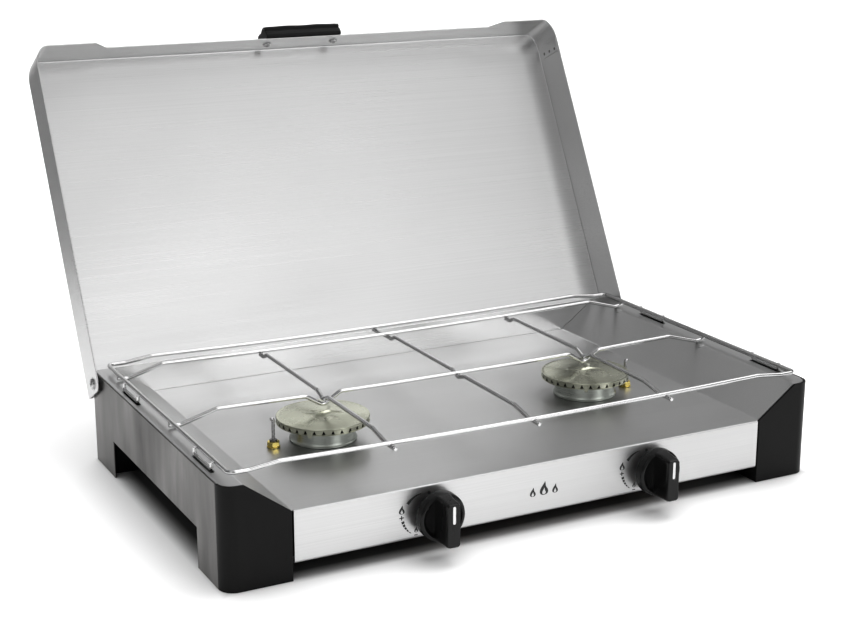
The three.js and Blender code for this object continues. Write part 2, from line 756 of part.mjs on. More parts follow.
function lengthBar(x, rearY, dipDepth) {
  const top = topAt(x);
  const under = top - WIRE_STEP;
  const dipHalf = dipDepth > 5 ? DIP_HALF + 2 : 11;
  const joggle = rearY > BAR_BACK_Y + 10 ? BAR_BACK_Y : rearY;
  const start = rearY > BAR_BACK_Y + 10 ? [[x, rearY, under - 0.8]] : [];
  return wire([
    ...start,
    [x, joggle + 3, under],
    [x, joggle - 5, under],
    [x, joggle - 13, top],
    [x, BAR_MIDDLE_Y + dipHalf, top],
    [x, BAR_MIDDLE_Y, top - dipDepth],
    [x, BAR_MIDDLE_Y - dipHalf, top],
    [x, 44, top],
    [x, GRID_FRONT + 11, under - 0.8],
    [x, GRID_FRONT - 5, under - 0.8],
  ], 3.5);
}

function sideWire(sign) {
  const x = sign * GRID_HALF;
  return wire([
    [x, GRID_FRONT + WIRE / 2 + GAP, GRID_SIDE_Z],
    [x, GRID_BACK - WIRE / 2 - GAP, GRID_SIDE_Z],
  ]);
}

function clip(sign, from, to) {
  const x = sign * CLIP_X;
  const low = RIM_Z + GAP + CLIP_RADIUS;
  return wire([
    [x, from, GRID_SIDE_Z + 0.8],
    [x, from, low],
    [x, to, low],
    [x, to, GRID_SIDE_Z + 0.8],
  ], 2.5, CLIP_RADIUS);
}

piece("grid_front_wire", outerWire(GRID_FRONT), CHROME);
piece("grid_back_wire", outerWire(GRID_BACK), CHROME);
piece("grid_back_bar", crossBar(BAR_BACK_Y, false), CHROME);
piece("grid_middle_bar", crossBar(BAR_MIDDLE_Y, true), CHROME);
const NESTING = 1.3; // extra room where two dips cross
const burnerDip = topAt(BAR_X) - (GRID_TOP_Z - BAR_DIP) - WIRE_STEP - NESTING;
piece("grid_left_bar", lengthBar(-BAR_X, BAR_BACK_Y, burnerDip), CHROME);
piece("grid_centre_bar", lengthBar(0, GRID_BACK + 4, WIRE_STEP), CHROME);
piece("grid_right_bar", lengthBar(BAR_X, BAR_BACK_Y, burnerDip), CHROME);
for (const { side, sign } of SIDES) {
  piece(`grid_${side}_wire`, sideWire(sign), CHROME);
  for (const { at, from, to } of CLIPS) piece(`grid_${side}_${at}_clip`, clip(sign, from, to), CHROME);
}

// ---- Lid, drawn closed around its hinge axis ----------------------------------------------------
function lidPlan(inset) {
  const half = LID_HALF - inset;
  const front = -LID_LENGTH + inset;
  const cornerX = LID_CORNER_X - inset;
  const cornerY = LID_CORNER_Y - inset;
  const shape = new THREE.Shape();
  shape.moveTo(-half, LID_TAIL + inset);
  shape.lineTo(-half, front + cornerY);
  shape.absellipse(-half + cornerX, front + cornerY, cornerX, cornerY, Math.PI, 1.5 * Math.PI, false);
  shape.lineTo(half - cornerX, front);
  shape.absellipse(half - cornerX, front + cornerY, cornerX, cornerY, 1.5 * Math.PI, 2 * Math.PI, false);
  shape.lineTo(half, LID_TAIL + inset);
  return shape;
}

const SCREW_RADIUS = 1.9; // of the handle's screws
const SCREW_Z = LID_INSIDE - 13;

function lidShell() {
  const top = LID_INSIDE + SHEET;
  const tray = cut(
    prismZ(lidPlan(0), -LID_WALL_DEEP, top, 5),
    prismZ(lidPlan(SHEET), -LID_WALL_DEEP - 1, LID_INSIDE, 5),
  );
  const lip = box(
    -LID_HALF + SHEET / 2,
    LID_HALF - SHEET / 2,
    LID_TAIL - SHEET,
    LID_TAIL,
    LID_INSIDE - LID_LIP,
    top,
  );
  const notch = prismY(
    outline([
      [-LID_NOTCH_OUTER, -LID_WALL_DEEP - 1],
      [LID_NOTCH_OUTER, -LID_WALL_DEEP - 1],
      [LID_NOTCH_INNER, -LID_WALL_FRONT],
      [-LID_NOTCH_INNER, -LID_WALL_FRONT],
    ]),
    -LID_LENGTH - 5,
    -LID_LENGTH + 5,
  );
  const cornerRound = 8;
  const tails = new THREE.Shape();
  tails.moveTo(LID_TAIL + 2, -LID_WALL_DEEP - 2);
  tails.lineTo(LID_TAIL + 2, -LID_WALL_DEEP + cornerRound);
  tails.lineTo(LID_TAIL, -LID_WALL_DEEP + cornerRound);
  tails.absarc(
    LID_TAIL - cornerRound,
    -LID_WALL_DEEP + cornerRound,
    cornerRound,
    0,
    -Math.PI / 2,
    true,
  );
  tails.lineTo(LID_TAIL - cornerRound, -LID_WALL_DEEP - 2);
  const hinge = alongX(disc(PIVOT_RADIUS + PIVOT_PLAY, -LID_HALF - 5, LID_HALF + 5, 16));
  const screws = [-1, 1].map((s) =>
    alongY(disc(SCREW_RADIUS + GAP, -LID_LENGTH - 5, -LID_LENGTH + 5, 12)).translate(
      HANDLE_X + s * SCREW_SPREAD,
      0,
      SCREW_Z,
    ),
  );
  return cut(join(tray, lip), notch, prismX(tails, -LID_HALF - 1, LID_HALF + 1), hinge, ...screws);
}

function lidHandle() {
  const back = -LID_LENGTH - GAP;
  const top = LID_INSIDE - 2;
  const bottom = -5;
  const profile = new THREE.Shape();
  profile.moveTo(back, top);
  profile.lineTo(back, bottom);
  profile.lineTo(back - HANDLE_OUT * 0.4, bottom + 0.6);
  profile.lineTo(back - HANDLE_OUT * 0.62, bottom + 2.6);
  profile.quadraticCurveTo(back - HANDLE_OUT, bottom + 1, back - HANDLE_OUT, bottom + 5);
  profile.quadraticCurveTo(back - HANDLE_OUT * 0.75, (top + bottom) / 2, back - HANDLE_OUT * 0.8, top - 3);
  profile.quadraticCurveTo(back - HANDLE_OUT * 0.6, top, back, top);
  const bar = prismX(profile, HANDLE_X - HANDLE_HALF, HANDLE_X + HANDLE_HALF, 4);
  const screws = [-1, 1].map((s) =>
    alongY(disc(SCREW_RADIUS + GAP, back - 6, back + 5, 12)).translate(
      HANDLE_X + s * SCREW_SPREAD,
      0,
      SCREW_Z,
    ),
  );
  return cut(bar, ...screws);
}

function handleScrew() {
  const face = -LID_LENGTH + SHEET + GAP;
  const head = lathe([[0, face + 2.2], [2, face + 1.9], [3.6, face], [0, face]].reverse(), 16);
  return alongY(join(head, disc(SCREW_RADIUS, face - SHEET - 6, face + 0.5, 12)));
}

piece("lid_shell", lidShell(), STEEL, lid);
piece("lid_handle", lidHandle(), BLACK, lid);
SIDES.forEach(({ side, sign }) => {
  const screw = piece(`${side}_handle_screw`, handleScrew(), STEEL, lid);
  screw.position.set(HANDLE_X + sign * SCREW_SPREAD, 0, SCREW_Z);
});

function hingeScrew(sign) {
  const face = LID_HALF + GAP;
  const shank = disc(PIVOT_RADIUS, HALF_WIDTH - SHEET - 8, face + 0.5, 16);
  const head = lathe([[0, face], [4.6, face], [4.2, face + 1.2], [2.4, face + 2], [0, face + 2]], 16);
  const screw = alongX(join(shank, head));
  return sign > 0 ? screw : mirrored(screw);
}

function hingeNut(sign) {
  const face = HALF_WIDTH - SHEET - GAP;
  const nut = alongX(cut(hexagon(8, face - 4, face), disc(PIVOT_RADIUS + GAP, face - 8, face + 5, 16)));
  return sign > 0 ? nut : mirrored(nut);
}

for (const { side, sign } of SIDES) {
  piece(`${side}_hinge_screw`, hingeScrew(sign), STEEL).position.set(0, HINGE_Y, HINGE_Z);
  piece(`${side}_hinge_nut`, hingeNut(sign), STEEL).position.set(0, HINGE_Y, HINGE_Z);
}

// ---- Place the stove over its origin: the middle of its base ------------------------------------
const extent = new THREE.Box3().setFromObject(stove, true);
const middle = extent.getCenter(new THREE.Vector3());
stove.position.set(-middle.x, -middle.y, -extent.min.z);

export default stove;
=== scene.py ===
"""Looks of a two-burner camping stove with a folding lid.

Pieces are modelled in millimetres: x to the right, y back from the fascia's face, z up from the
ground. `finish_piece` turns that into the frame's metres. The lid is drawn closed, about its
hinge axis, and turned open at the end. Outer sizes and places come from the CAD nodes' boxes.
"""
import json
import math

import bmesh
import bpy
from mathutils import Matrix, Vector


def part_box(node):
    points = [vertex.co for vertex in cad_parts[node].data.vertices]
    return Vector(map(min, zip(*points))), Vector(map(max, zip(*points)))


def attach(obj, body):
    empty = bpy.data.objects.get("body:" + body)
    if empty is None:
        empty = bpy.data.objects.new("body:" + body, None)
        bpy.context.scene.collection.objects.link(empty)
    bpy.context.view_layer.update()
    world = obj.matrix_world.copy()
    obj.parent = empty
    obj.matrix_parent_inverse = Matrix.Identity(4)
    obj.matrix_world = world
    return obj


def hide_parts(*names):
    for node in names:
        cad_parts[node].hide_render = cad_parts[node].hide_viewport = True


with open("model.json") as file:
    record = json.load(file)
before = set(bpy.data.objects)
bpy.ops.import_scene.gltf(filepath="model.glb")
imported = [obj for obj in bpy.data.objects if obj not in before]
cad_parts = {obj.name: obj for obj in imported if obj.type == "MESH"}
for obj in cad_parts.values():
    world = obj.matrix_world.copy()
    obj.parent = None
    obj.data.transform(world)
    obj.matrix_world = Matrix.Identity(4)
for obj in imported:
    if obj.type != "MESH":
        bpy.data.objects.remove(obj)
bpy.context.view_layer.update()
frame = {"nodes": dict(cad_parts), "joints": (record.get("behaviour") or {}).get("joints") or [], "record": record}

# ---- Measures ---------------------------------------------------------------------------------
MM = 0.001
ORIGIN = Vector((0.0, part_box("hob_tray")[0].y, 0.0))
TO_FRAME = Matrix.Translation(ORIGIN) @ Matrix.Scale(MM, 4)
MIRROR = Matrix.Scale(-1, 4, (1, 0, 0))


def span(node):
    """Lowest and highest corner of a CAD node, in millimetres from the fascia and the ground."""
    low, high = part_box(node)
    return (low - ORIGIN) / MM, (high - ORIGIN) / MM


def middle(node):
    low, high = span(node)
    return (low + high) / 2


SIDES = (("left", -1), ("right", 1))
GAP = 0.3  # between pieces that lie on each other
SHEET = 1.0
RIM = span("right_side_panel")[1].z
TRAY_HALF = span("hob_tray")[1].x
TRAY_BACK = span("hob_tray")[1].y
FASCIA_BOTTOM = span("hob_tray")[0].z
HOB_EDGE = span("right_front_cap")[0].x
HOB = 54.0  # height of the hob's upper face
SLOPE_TOP = 242.8  # x where a side slope meets its ledge
CAP_FACE = 2.0  # y where the slopes end, at the front caps
CORNER_CENTRE = (248.0, 12.0, 9.7)  # x, y, radius of the tray's front corner

joints = {joint["name"]: joint for joint in frame["joints"]}
HINGE = (Vector(joints["lid_hinge"]["pos_m"]) - ORIGIN) / MM
LID_OPEN = math.radians(-joints["lid_hinge"]["range_deg"][0])
LID_POSE = Matrix.Translation(HINGE) @ Matrix.Rotation(-LID_OPEN, 4, "X")


# ---- Mesh tools -------------------------------------------------------------------------------
def placed(name, data):
    """A new object in the scene."""
    made = bpy.data.objects.new(name, data)
    bpy.context.scene.collection.objects.link(made)
    return made


def rounded(corners, radius, steps=6, ring=False):
    """A path through the corners, each one turned into an arc of that radius."""
    corners = [Vector(c) for c in corners]
    count = len(corners)
    radii = radius if isinstance(radius, (list, tuple)) else [radius] * count
    path = []
    for i, corner in enumerate(corners):
        if not ring and i in (0, count - 1):
            path.append(corner)
            continue
        back = corners[i - 1] - corner
        ahead = corners[(i + 1) % count] - corner
        inside = back.angle(ahead)
        turn = math.pi - inside
        if turn < 0.01:
            path.append(corner)
            continue
        reach = min(radii[i] * math.tan(turn / 2), back.length * 0.48, ahead.length * 0.48)
        start = corner + back.normalized() * reach
        end = corner + ahead.normalized() * reach
        bisector = (back.normalized() + ahead.normalized()).normalized()
        centre = corner + bisector * (reach / math.cos(inside / 2))
        for k in range(steps + 1):
            share = k / steps
            path.append(
                centre
                + (start - centre) * (math.sin((1 - share) * turn) / math.sin(turn))
                + (end - centre) * (math.sin(share * turn) / math.sin(turn))
            )
    return path


def skin(bm, loops, ring=False, caps=True, open_loops=False):
    """Joins loops with the same number of points by quads."""
    rows = [[bm.verts.new(p) for p in loop] for loop in loops]
    count = len(rows[0])
    following = rows[1:] + rows[:1] if ring else rows[1:]
    for a, b in zip(rows, following):
        for i in range(count - 1 if open_loops else count):
            j = (i + 1) % count
            bm.faces.new((a[i], a[j], b[j], b[i]))
    if caps and not ring:
        bm.faces.new(list(reversed(rows[0])))
        bm.faces.new(rows[-1])
    return rows


def closed(bm):
    bmesh.ops.remove_doubles(bm, verts=bm.verts, dist=1e-4)
    bmesh.ops.recalc_face_normals(bm, faces=bm.faces)
    return bm


def lathe(profile, sides=96, height_at=None):
    """A closed profile of (radius, z) points turned about z. The function may vary its heights."""
    bm = bmesh.new()
    loops = []
    for i in range(sides):
        angle = 2 * math.pi * i / sides
        loop = []
        for k, (r, z) in enumerate(profile):
            height = height_at(k, r, z, angle) if height_at else z
            loop.append((r * math.cos(angle), r * math.sin(angle), height))
        loops.append(loop)
    skin(bm, loops, ring=True)
    return closed(bm)


AXES = {
    "x": lambda a, b, c: (c, a, b),
    "y": lambda a, b, c: (a, c, b),
    "z": lambda a, b, c: (a, b, c),
}


def prism(outline, low, high, axis):
    """An outline of (a, b) points, carried along one axis."""
    place = AXES[axis]
    bm = bmesh.new()
    skin(bm, [[place(a, b, c) for a, b in outline] for c in (low, high)])
    return closed(bm)


def rectangle(x0, y0, x1, y1):
    return [(x0, y0), (x1, y0), (x1, y1), (x0, y1)]


def block(x0, x1, y0, y1, z0, z1):
    return prism(rectangle(x0, y0, x1, y1), z0, z1, "z")


def circle(radius, sides=48, at=(0, 0)):
    angles = [2 * math.pi * i / sides for i in range(sides)]
    return [(at[0] + radius * math.cos(a), at[1] + radius * math.sin(a)) for a in angles]


def tube(path, radius, sides=16, ring=False):
    """A round wire along a path, with softly rounded ends."""
    path = [Vector(p) for p in path]
    count = len(path)
    bm = bmesh.new()
    loops = []
    side = None
    for i, point in enumerate(path):
        before = path[i - 1] if ring or i else point
        after = path[(i + 1) % count] if ring or i < count - 1 else point
        ahead = (after - before).normalized()
        if side is None:
            side = ahead.orthogonal().normalized()
        side = (side - ahead * side.dot(ahead)).normalized()
        up = ahead.cross(side)

        def around(r, shift):
            return [
                point + ahead * shift
                + (side * math.cos(2 * math.pi * k / sides) + up * math.sin(2 * math.pi * k / sides)) * r
                for k in range(sides)
            ]

        if not ring and i == 0:
            loops += [around(radius * r, radius * s) for r, s in ((0.55, 0), (0.85, 0.08), (0.98, 0.28))]
        elif not ring and i == count - 1:
            loops += [around(radius * r, -radius * s) for r, s in ((0.98, 0.28), (0.85, 0.08), (0.55, 0))]
        else:
            loops.append(around(radius, 0))
    skin(bm, loops, ring=ring)
    return closed(bm)


def moved(bm, matrix):
    bmesh.ops.transform(bm, matrix=matrix, verts=bm.verts)
    if matrix.to_3x3().determinant() < 0:
        bmesh.ops.reverse_faces(bm, faces=bm.faces)
    return bm


def shifted(bm, x=0.0, y=0.0, z=0.0):
    return moved(bm, Matrix.Translation((x, y, z)))


def turned(bm, degrees, axis):
    return moved(bm, Matrix.Rotation(math.radians(degrees), 4, axis))


def together(*parts):
    """Several meshes as one."""
    bm = bmesh.new()
    for part in parts:
        mesh = bpy.data.meshes.new("part")
        part.to_mesh(mesh)
        part.free()
        bm.from_mesh(mesh)
        bpy.data.meshes.remove(mesh)
    return bm


def work_object(bm):
    mesh = bpy.data.meshes.new("work")
    bm.to_mesh(mesh)
    bm.free()
    return placed("work", mesh)


def through(bm, kind, tool=None, **settings):
    """The mesh after one modifier. A tool is the other mesh of a boolean."""
    work = work_object(bm)
    modifier = work.modifiers.new("step", kind)
    for key, value in settings.items():
        setattr(modifier, key, value)
    helpers = [work]
    if tool is not None:
        helpers.append(work_object(tool))
        modifier.object = helpers[1]
        modifier.solver = "EXACT"
    evaluated = work.evaluated_get(bpy.context.evaluated_depsgraph_get())
    result = bmesh.new()
    result.from_mesh(evaluated.to_mesh())
    evaluated.to_mesh_clear()
    for helper in helpers:
        mesh = helper.data
        bpy.data.objects.remove(helper)
        bpy.data.meshes.remove(mesh)
    return result


def cut(bm, *tools):
    return through(bm, "BOOLEAN", together(*tools), operation="DIFFERENCE")


def joined(bm, tool):
    return through(bm, "BOOLEAN", tool, operation="UNION")


def softened(bm, width, steps=2, sharper_than=35):
    """Every edge that turns by more than that many degrees gets a small round."""
    closed(bm)
    limit = math.radians(sharper_than)
    edges = [e for e in bm.edges if len(e.link_faces) == 2 and e.calc_face_angle(0) > limit]
    bmesh.ops.bevel(
        bm, geom=edges, offset=width, segments=steps, profile=0.5, affect="EDGES", clamp_overlap=True
    )
    return bm


def from_node(node):
    """A CAD node's own shape with its flat faces whole again, in millimetres."""
    bm = bmesh.new()
    bm.from_mesh(frame["nodes"][node].data)
    moved(bm, TO_FRAME.inverted())
    closed(bm)
    bmesh.ops.dissolve_limit(bm, angle_limit=math.radians(0.5), verts=bm.verts, edges=bm.edges)
    return bm


def finish_piece(name, bm, look, slot, body, *nodes, smooth=38):
    moved(bm, TO_FRAME)
    mesh = bpy.data.meshes.new(name)
    bm.to_mesh(mesh)
    bm.free()
    for polygon in mesh.polygons:
        polygon.use_smooth = True
    mesh.set_sharp_from_angle(angle=math.radians(smooth))
    mesh.materials.append(look)
    made = placed(name, mesh)
    weighted = made.modifiers.new("flat faces stay flat", "WEIGHTED_NORMAL")
    weighted.keep_sharp = True
    weighted.weight = 90
    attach(made, body)
    if nodes:
        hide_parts(*nodes)
    return made


# ---- Materials --------------------------------------------------------------------------------
def node(tree, kind, inputs=None, **attributes):
    made = tree.nodes.new(kind)
    for key, value in attributes.items():
        setattr(made, key, value)
    for key, value in (inputs or {}).items():
        if isinstance(value, bpy.types.NodeSocket):
            tree.links.new(value, made.inputs[key])
        else:
            made.inputs[key].default_value = value
    return made


def grain(tree, scale, detail=4.0, roughness=0.6, distortion=0.0):
    """Noise with its own scale along each axis, in features per metre."""
    coordinates = node(tree, "ShaderNodeTexCoord")
    mapping = node(tree, "ShaderNodeMapping", {"Vector": coordinates.outputs["Object"], "Scale": scale})
    settings = {"Scale": 1.0, "Detail": detail, "Roughness": roughness, "Distortion": distortion}
    noise = node(tree, "ShaderNodeTexNoise", {"Vector": mapping.outputs["Vector"], **settings})
    return noise.outputs["Fac"]


def between(tree, share, low, high, start=0.3, stop=0.7, kind="LINEAR"):
    """Takes a share from start to stop on to the range low to high."""
    return node(
        tree,
        "ShaderNodeMapRange",
        {"Value": share, "From Min": start, "From Max": stop, "To Min": low, "To Max": high},
        interpolation_type=kind,
    ).outputs["Result"]


def blended(tree, share, first, second):
    mix = node(tree, "ShaderNodeMix", data_type="RGBA")
    for key, value in ((0, share), (6, first), (7, second)):
        if isinstance(value, bpy.types.NodeSocket):
            tree.links.new(value, mix.inputs[key])
        else:
            mix.inputs[key].default_value = value
    return mix.outputs[2]


def grey(value, warmth=0.0):
    return (value * (1 + warmth), value, value * (1 - warmth), 1.0)


def blank_material(name):
    made = bpy.data.materials.new(name)
    made.use_nodes = True
    return made, made.node_tree, made.node_tree.nodes["Principled BSDF"]


def metal(
    name, dark, light, roughness, lines, blotches=(9, 9, 9), blotch_share=0.25, bump=0.1, wave_bump=0.0
):
    """Metal with drawn or brushed lines, soft blotches, and roughness that follows both."""
    made, tree, shader = blank_material(name)
    line = grain(tree, lines, detail=5.0, roughness=0.7)
    blotch = grain(tree, blotches, detail=3.0, roughness=0.5)
    tone = blended(tree, between(tree, line, 0.0, 1.0), dark, light)
    shade = blended(tree, between(tree, blotch, 0.0, blotch_share), tone, dark)
    rough = node(
        tree,
        "ShaderNodeMath",
        {
            0: between(tree, line, roughness * 0.8, roughness * 1.25),
            1: between(tree, blotch, -0.03, 0.05),
        },
        operation="ADD",
    )
    relief = node(tree, "ShaderNodeBump", {"Strength": bump, "Distance": 0.0002, "Height": line})
    normal = relief.outputs["Normal"]
    if wave_bump:
        waves = grain(tree, (14, 14, 14), detail=1.0)
        normal = node(
            tree,
            "ShaderNodeBump",
            {"Strength": wave_bump, "Distance": 0.001, "Height": waves, "Normal": normal},
        ).outputs["Normal"]
    tree.links.new(shade, shader.inputs["Base Color"])
    tree.links.new(rough.outputs[0], shader.inputs["Roughness"])
    tree.links.new(normal, shader.inputs["Normal"])
    shader.inputs["Metallic"].default_value = 1.0
    return made


def plastic(name, dark, light, roughness, bump=0.12, gloss=0.4):
    """Moulded plastic: a fine pimpled skin, faint flow marks and handling wear."""
    made, tree, shader = blank_material(name)
    pimples = grain(tree, (2600, 2600, 2600), detail=2.0)
    flow = grain(tree, (30, 30, 12), detail=4.0, distortion=0.6)
    tree.links.new(blended(tree, between(tree, flow, 0.0, 1.0), dark, light), shader.inputs["Base Color"])
    tree.links.new(between(tree, flow, roughness * 0.85, roughness * 1.2), shader.inputs["Roughness"])
    relief = node(tree, "ShaderNodeBump", {"Strength": bump, "Distance": 0.0001, "Height": pimples})
    tree.links.new(relief.outputs["Normal"], shader.inputs["Normal"])
    shader.inputs["Specular IOR Level"].default_value = gloss
    return made


ALONG_X = (3, 1500, 1500)
STEEL = metal("brushed steel", grey(0.54), grey(0.64), 0.37, ALONG_X, (5, 9, 9), 0.45, 0.05, 0.10)
LID_STEEL = metal("brushed lid steel", grey(0.57), grey(0.66), 0.30, ALONG_X, (3, 6, 6), 0.3, 0.05, 0.12)
# painted light: the back panel gets a brighter copy of the brushed steel, standing in for the light it catches
BACK_STEEL_PAINTED_BRIGHT = metal("back steel painted brighter", grey(0.74), grey(0.84), 0.20, ALONG_X, (5, 9, 9), 0.3, 0.04, 0.05)
SIDE_STEEL = metal(
    "dark side steel", grey(0.07, 0.03), grey(0.27, 0.02), 0.36, (70, 60, 12), (18, 26, 8), 0.95, 0.05
)
HARDWARE = metal("plated steel", grey(0.42), grey(0.6), 0.25, (500, 500, 500), (80, 80, 80), 0.4)
CHROME = metal("chrome wire", grey(0.55), grey(0.72), 0.13, (60, 60, 900), (40, 40, 40), 0.3, 0.03)
ALUMINIUM = metal(
    "turned aluminium", (0.47, 0.50, 0.46, 1), (0.66, 0.69, 0.64, 1), 0.30,
    (90, 90, 2600), (30, 30, 60), 0.3,
)
CAP_METAL = metal(
    "olive burner cap", (0.50, 0.51, 0.41, 1), (0.58, 0.59, 0.49, 1), 0.25,
    (55, 55, 55), (22, 30, 22), 0.5, 0.01,
)
BRASS = metal(
    "brass", (0.78, 0.62, 0.16, 1), (0.95, 0.82, 0.34, 1), 0.24, (300, 300, 900), (90, 90, 90), 0.4
)
COPPER = metal(
    "drawn copper", (0.50, 0.22, 0.11, 1), (0.80, 0.42, 0.26, 1), 0.28, (60, 300, 900), (40, 40, 40), 0.5
)
SLEEVE = metal(
    "dark probe sleeve", grey(0.12, 0.03), grey(0.28, 0.02), 0.32, (400, 400, 900), (90, 90, 90), 0.5
)
PLASTIC = plastic("black moulded plastic", grey(0.004), grey(0.008), 0.42, gloss=0.16)
KNOB_PLASTIC = plastic("black knob plastic", grey(0.004), grey(0.008), 0.26, bump=0.05, gloss=0.28)
# painted shade: a near black, dull skin for the liner inside each burner cap
BLACK_SLOT_SHADE = plastic("black liner of painted shade", grey(0.004), grey(0.012), 0.8, bump=0.3, gloss=0.1)
WHITE = plastic("white inlay", grey(0.80), grey(0.92), 0.35, bump=0.05)
INK = plastic("black print", grey(0.012), grey(0.03), 0.5, bump=0.05)

LOOKS = {
    "brushed_steel": STEEL,
    "side_steel": SIDE_STEEL,
    "black_plastic": PLASTIC,
    "white_plastic": WHITE,
    "burner_aluminium": ALUMINIUM,
    "burner_cap_metal": CAP_METAL,
    "fastener_steel": HARDWARE,
    "brass": BRASS,
    "copper": COPPER,
    "chrome_wire": CHROME,
}


# ---- Body -------------------------------------------------------------------------------------
BEND = 2.8  # outer radius of the fascia's folds
BURNER_HOLE = 9.5  # radii of the tray's holes
PROBE_HOLE = 3.3
SPINDLE_HOLE = 5
burners = {side: middle(f"{side}_burner_cap") for side, _ in SIDES}
probes = {side: middle(f"{side}_thermocouple") for side, _ in SIDES}
taps = {side: middle(f"{side}_spindle") for side, _ in SIDES}


def mirrored_outline(half):
    return half + [(-a, b) for a, b in reversed(half)]


def ledge_slot(clip):
    """The slot in a side ledge under one of the pot support's clips, with round ends."""
    low, high = span(clip)
    room = 0.7
    half = (high.x - low.x) / 2 + room / 2
    centre = (low.x + high.x) / 2
    corners = rectangle(centre - half, low.y - room, centre + half, high.y + room)
    outline = rounded(corners, half, 6, ring=True)
    return prism([tuple(p) for p in outline], RIM - 5, RIM + 5, "z")


def hob_tray():
    half = [(-TRAY_HALF, RIM), (-SLOPE_TOP, RIM), (-HOB_EDGE, HOB)]
    section = rounded(mirrored_outline(half), [0, 4, 4, 4, 4, 0], 7)
    front = CAP_FACE + GAP
    bm = bmesh.new()
    loops = [[(x, y, z) for x, z in section] for y in (front, TRAY_BACK)]
    rows = skin(bm, loops, caps=False, open_loops=True)
    right = max(i for i, (x, z) in enumerate(section) if abs(z - HOB) < 1e-4)
    left = min(i for i, (x, z) in enumerate(section) if abs(z - HOB) < 1e-4)
    fold = rounded([(front, HOB), (0, HOB), (0, FASCIA_BOTTOM), (12, FASCIA_BOTTOM)], BEND, 7)[1:]
    edge = [rows[0][left], rows[0][right]]
    for y, z in fold:
        lower = [bm.verts.new((v.co.x, y, z)) for v in (rows[0][left], rows[0][right])]
        bm.faces.new((edge[0], edge[1], lower[1], lower[0]))
        edge = lower
    bmesh.ops.recalc_face_normals(bm, faces=bm.faces)
    hob_face = max(bm.faces, key=lambda f: f.calc_area())
    if hob_face.normal.z < 0:
        bmesh.ops.reverse_faces(bm, faces=bm.faces)
    sheet = through(bm, "SOLIDIFY", thickness=SHEET, offset=-1, use_even_offset=True)
    holes = [tray_corner(sign) for _, sign in SIDES]
    for side, _ in SIDES:
        holes.append(prism(circle(BURNER_HOLE, at=burners[side].xy), HOB - 5, HOB + 5, "z"))
        holes.append(prism(circle(PROBE_HOLE, at=probes[side].xy), HOB - 5, HOB + 5, "z"))
        holes.append(prism(circle(SPINDLE_HOLE, at=taps[side].xz), -5, 5, "y"))
        holes += [ledge_slot(f"grid_{side}_{end}_clip") for end in ("front", "rear")]
    tray = softened(cut(sheet, *holes), 0.22)
    finish_piece("hob_tray_sheet", tray, STEEL, "brushed_steel", "base", "hob_tray", smooth=30)


def tray_corner(sign):
    """What is cut off a front corner of the tray, inside the cap's rim."""
    x, y, radius = CORNER_CENTRE
    angles = [math.pi / 2 * i / 10 for i in range(11)]
    arc = [(x + radius * math.sin(a), y - radius * math.cos(a)) for a in angles]
    far = TRAY_HALF + 5
    outline = [(x, -3), *arc, (x + radius, y + 0.3), (far, y + 0.3), (far, -3)]
    corner = prism(outline, RIM - 5, RIM + 5, "z")
    return corner if sign > 0 else moved(corner, MIRROR)


def ledge_dimples():
    """Small pressed bumps beside the pot support's bars, on the slopes' upper edges."""
    parts = []
    for _, sign in SIDES:
        for bar in ("grid_middle_bar", "grid_back_bar"):
            dome = lathe([(0, -0.6), (3.6, -0.6), (3.4, 0), (2.4, 0.5), (1.2, 0.75), (0, 0.8)], 32)
            turned(dome, sign * -18, "Y")
            parts.append(shifted(dome, sign * SLOPE_TOP, middle(bar).y - 7.5, RIM - 0.75))
    finish_piece("ledge_dimples", together(*parts), STEEL, "brushed_steel", "base")


hob_tray()
ledge_dimples()
back_panel = softened(from_node("back_panel"), 0.25)
# the back panel's brighter steel is painted light
finish_piece("back_panel_sheet", back_panel, BACK_STEEL_PAINTED_BRIGHT, "brushed_steel", "base", "back_panel")
for side, _ in SIDES:
    for part, look, slot, width in (
        ("side_panel", SIDE_STEEL, "side_steel", 0.3),
        ("front_cap", PLASTIC, "black_plastic", 0.55),
        ("rear_foot", PLASTIC, "black_plastic", 0.6),
    ):
        cad = f"{side}_{part}"
        finish_piece(f"{cad}_finished", softened(from_node(cad), width, 3), look, slot, "base", cad)


# ---- Print on the fascia ----------------------------------------------------------------------
INK_FILM = 0.06


def print_shape(outline, x, z):
    """A flat shape printed on the fascia, its outline in (x, z) from a middle point."""
    return prism([(x + a, z + b) for a, b in outline], -INK_FILM, 0.02, "y")


# A flame one unit high, from its foot up the right side and down the left one.
FLAME = (
    (0.0, 0.0), (0.17, 0.02), (0.30, 0.11), (0.34, 0.26),
    (0.29, 0.42), (0.19, 0.55), (0.13, 0.68), (0.12, 0.83),
    (0.08, 1.0), (-0.03, 0.84), (-0.14, 0.70), (-0.25, 0.55),
    (-0.33, 0.40), (-0.35, 0.24), (-0.29, 0.10), (-0.16, 0.02),
)


def flame(height, x, z):
    """A flame with one leaning tip and an open heart, printed with its foot at (x, z)."""
    ink = print_shape([(a * height, b * height) for a, b in FLAME], x, z)
    heart = [(a * height * 0.42, b * height * 0.48 + height * 0.05) for a, b in FLAME]
    return cut(ink, prism([(x + a, z + b) for a, b in heart], -1, 1, "y"))


def wedge_outline(radius, start, stop, thin, thick, steps=14):
    """A curved wedge about the knob, its angles in degrees from straight up, to the left."""
    outer, inner = [], []
    for i in range(steps + 1):
        share = i / steps
        angle = math.radians(start + (stop - start) * share)
        half = (thin + (thick - thin) * share) / 2
        for ring, r in ((outer, radius + half), (inner, radius - half)):
            ring.append((-r * math.sin(angle), r * math.cos(angle)))
    return outer + list(reversed(inner))


def bar_outline(width, height):
    return rectangle(-width / 2, -height / 2, width / 2, height / 2)


DIAL_CENTRE = -9.0  # the ring of marks lies this far left of the knob's axis


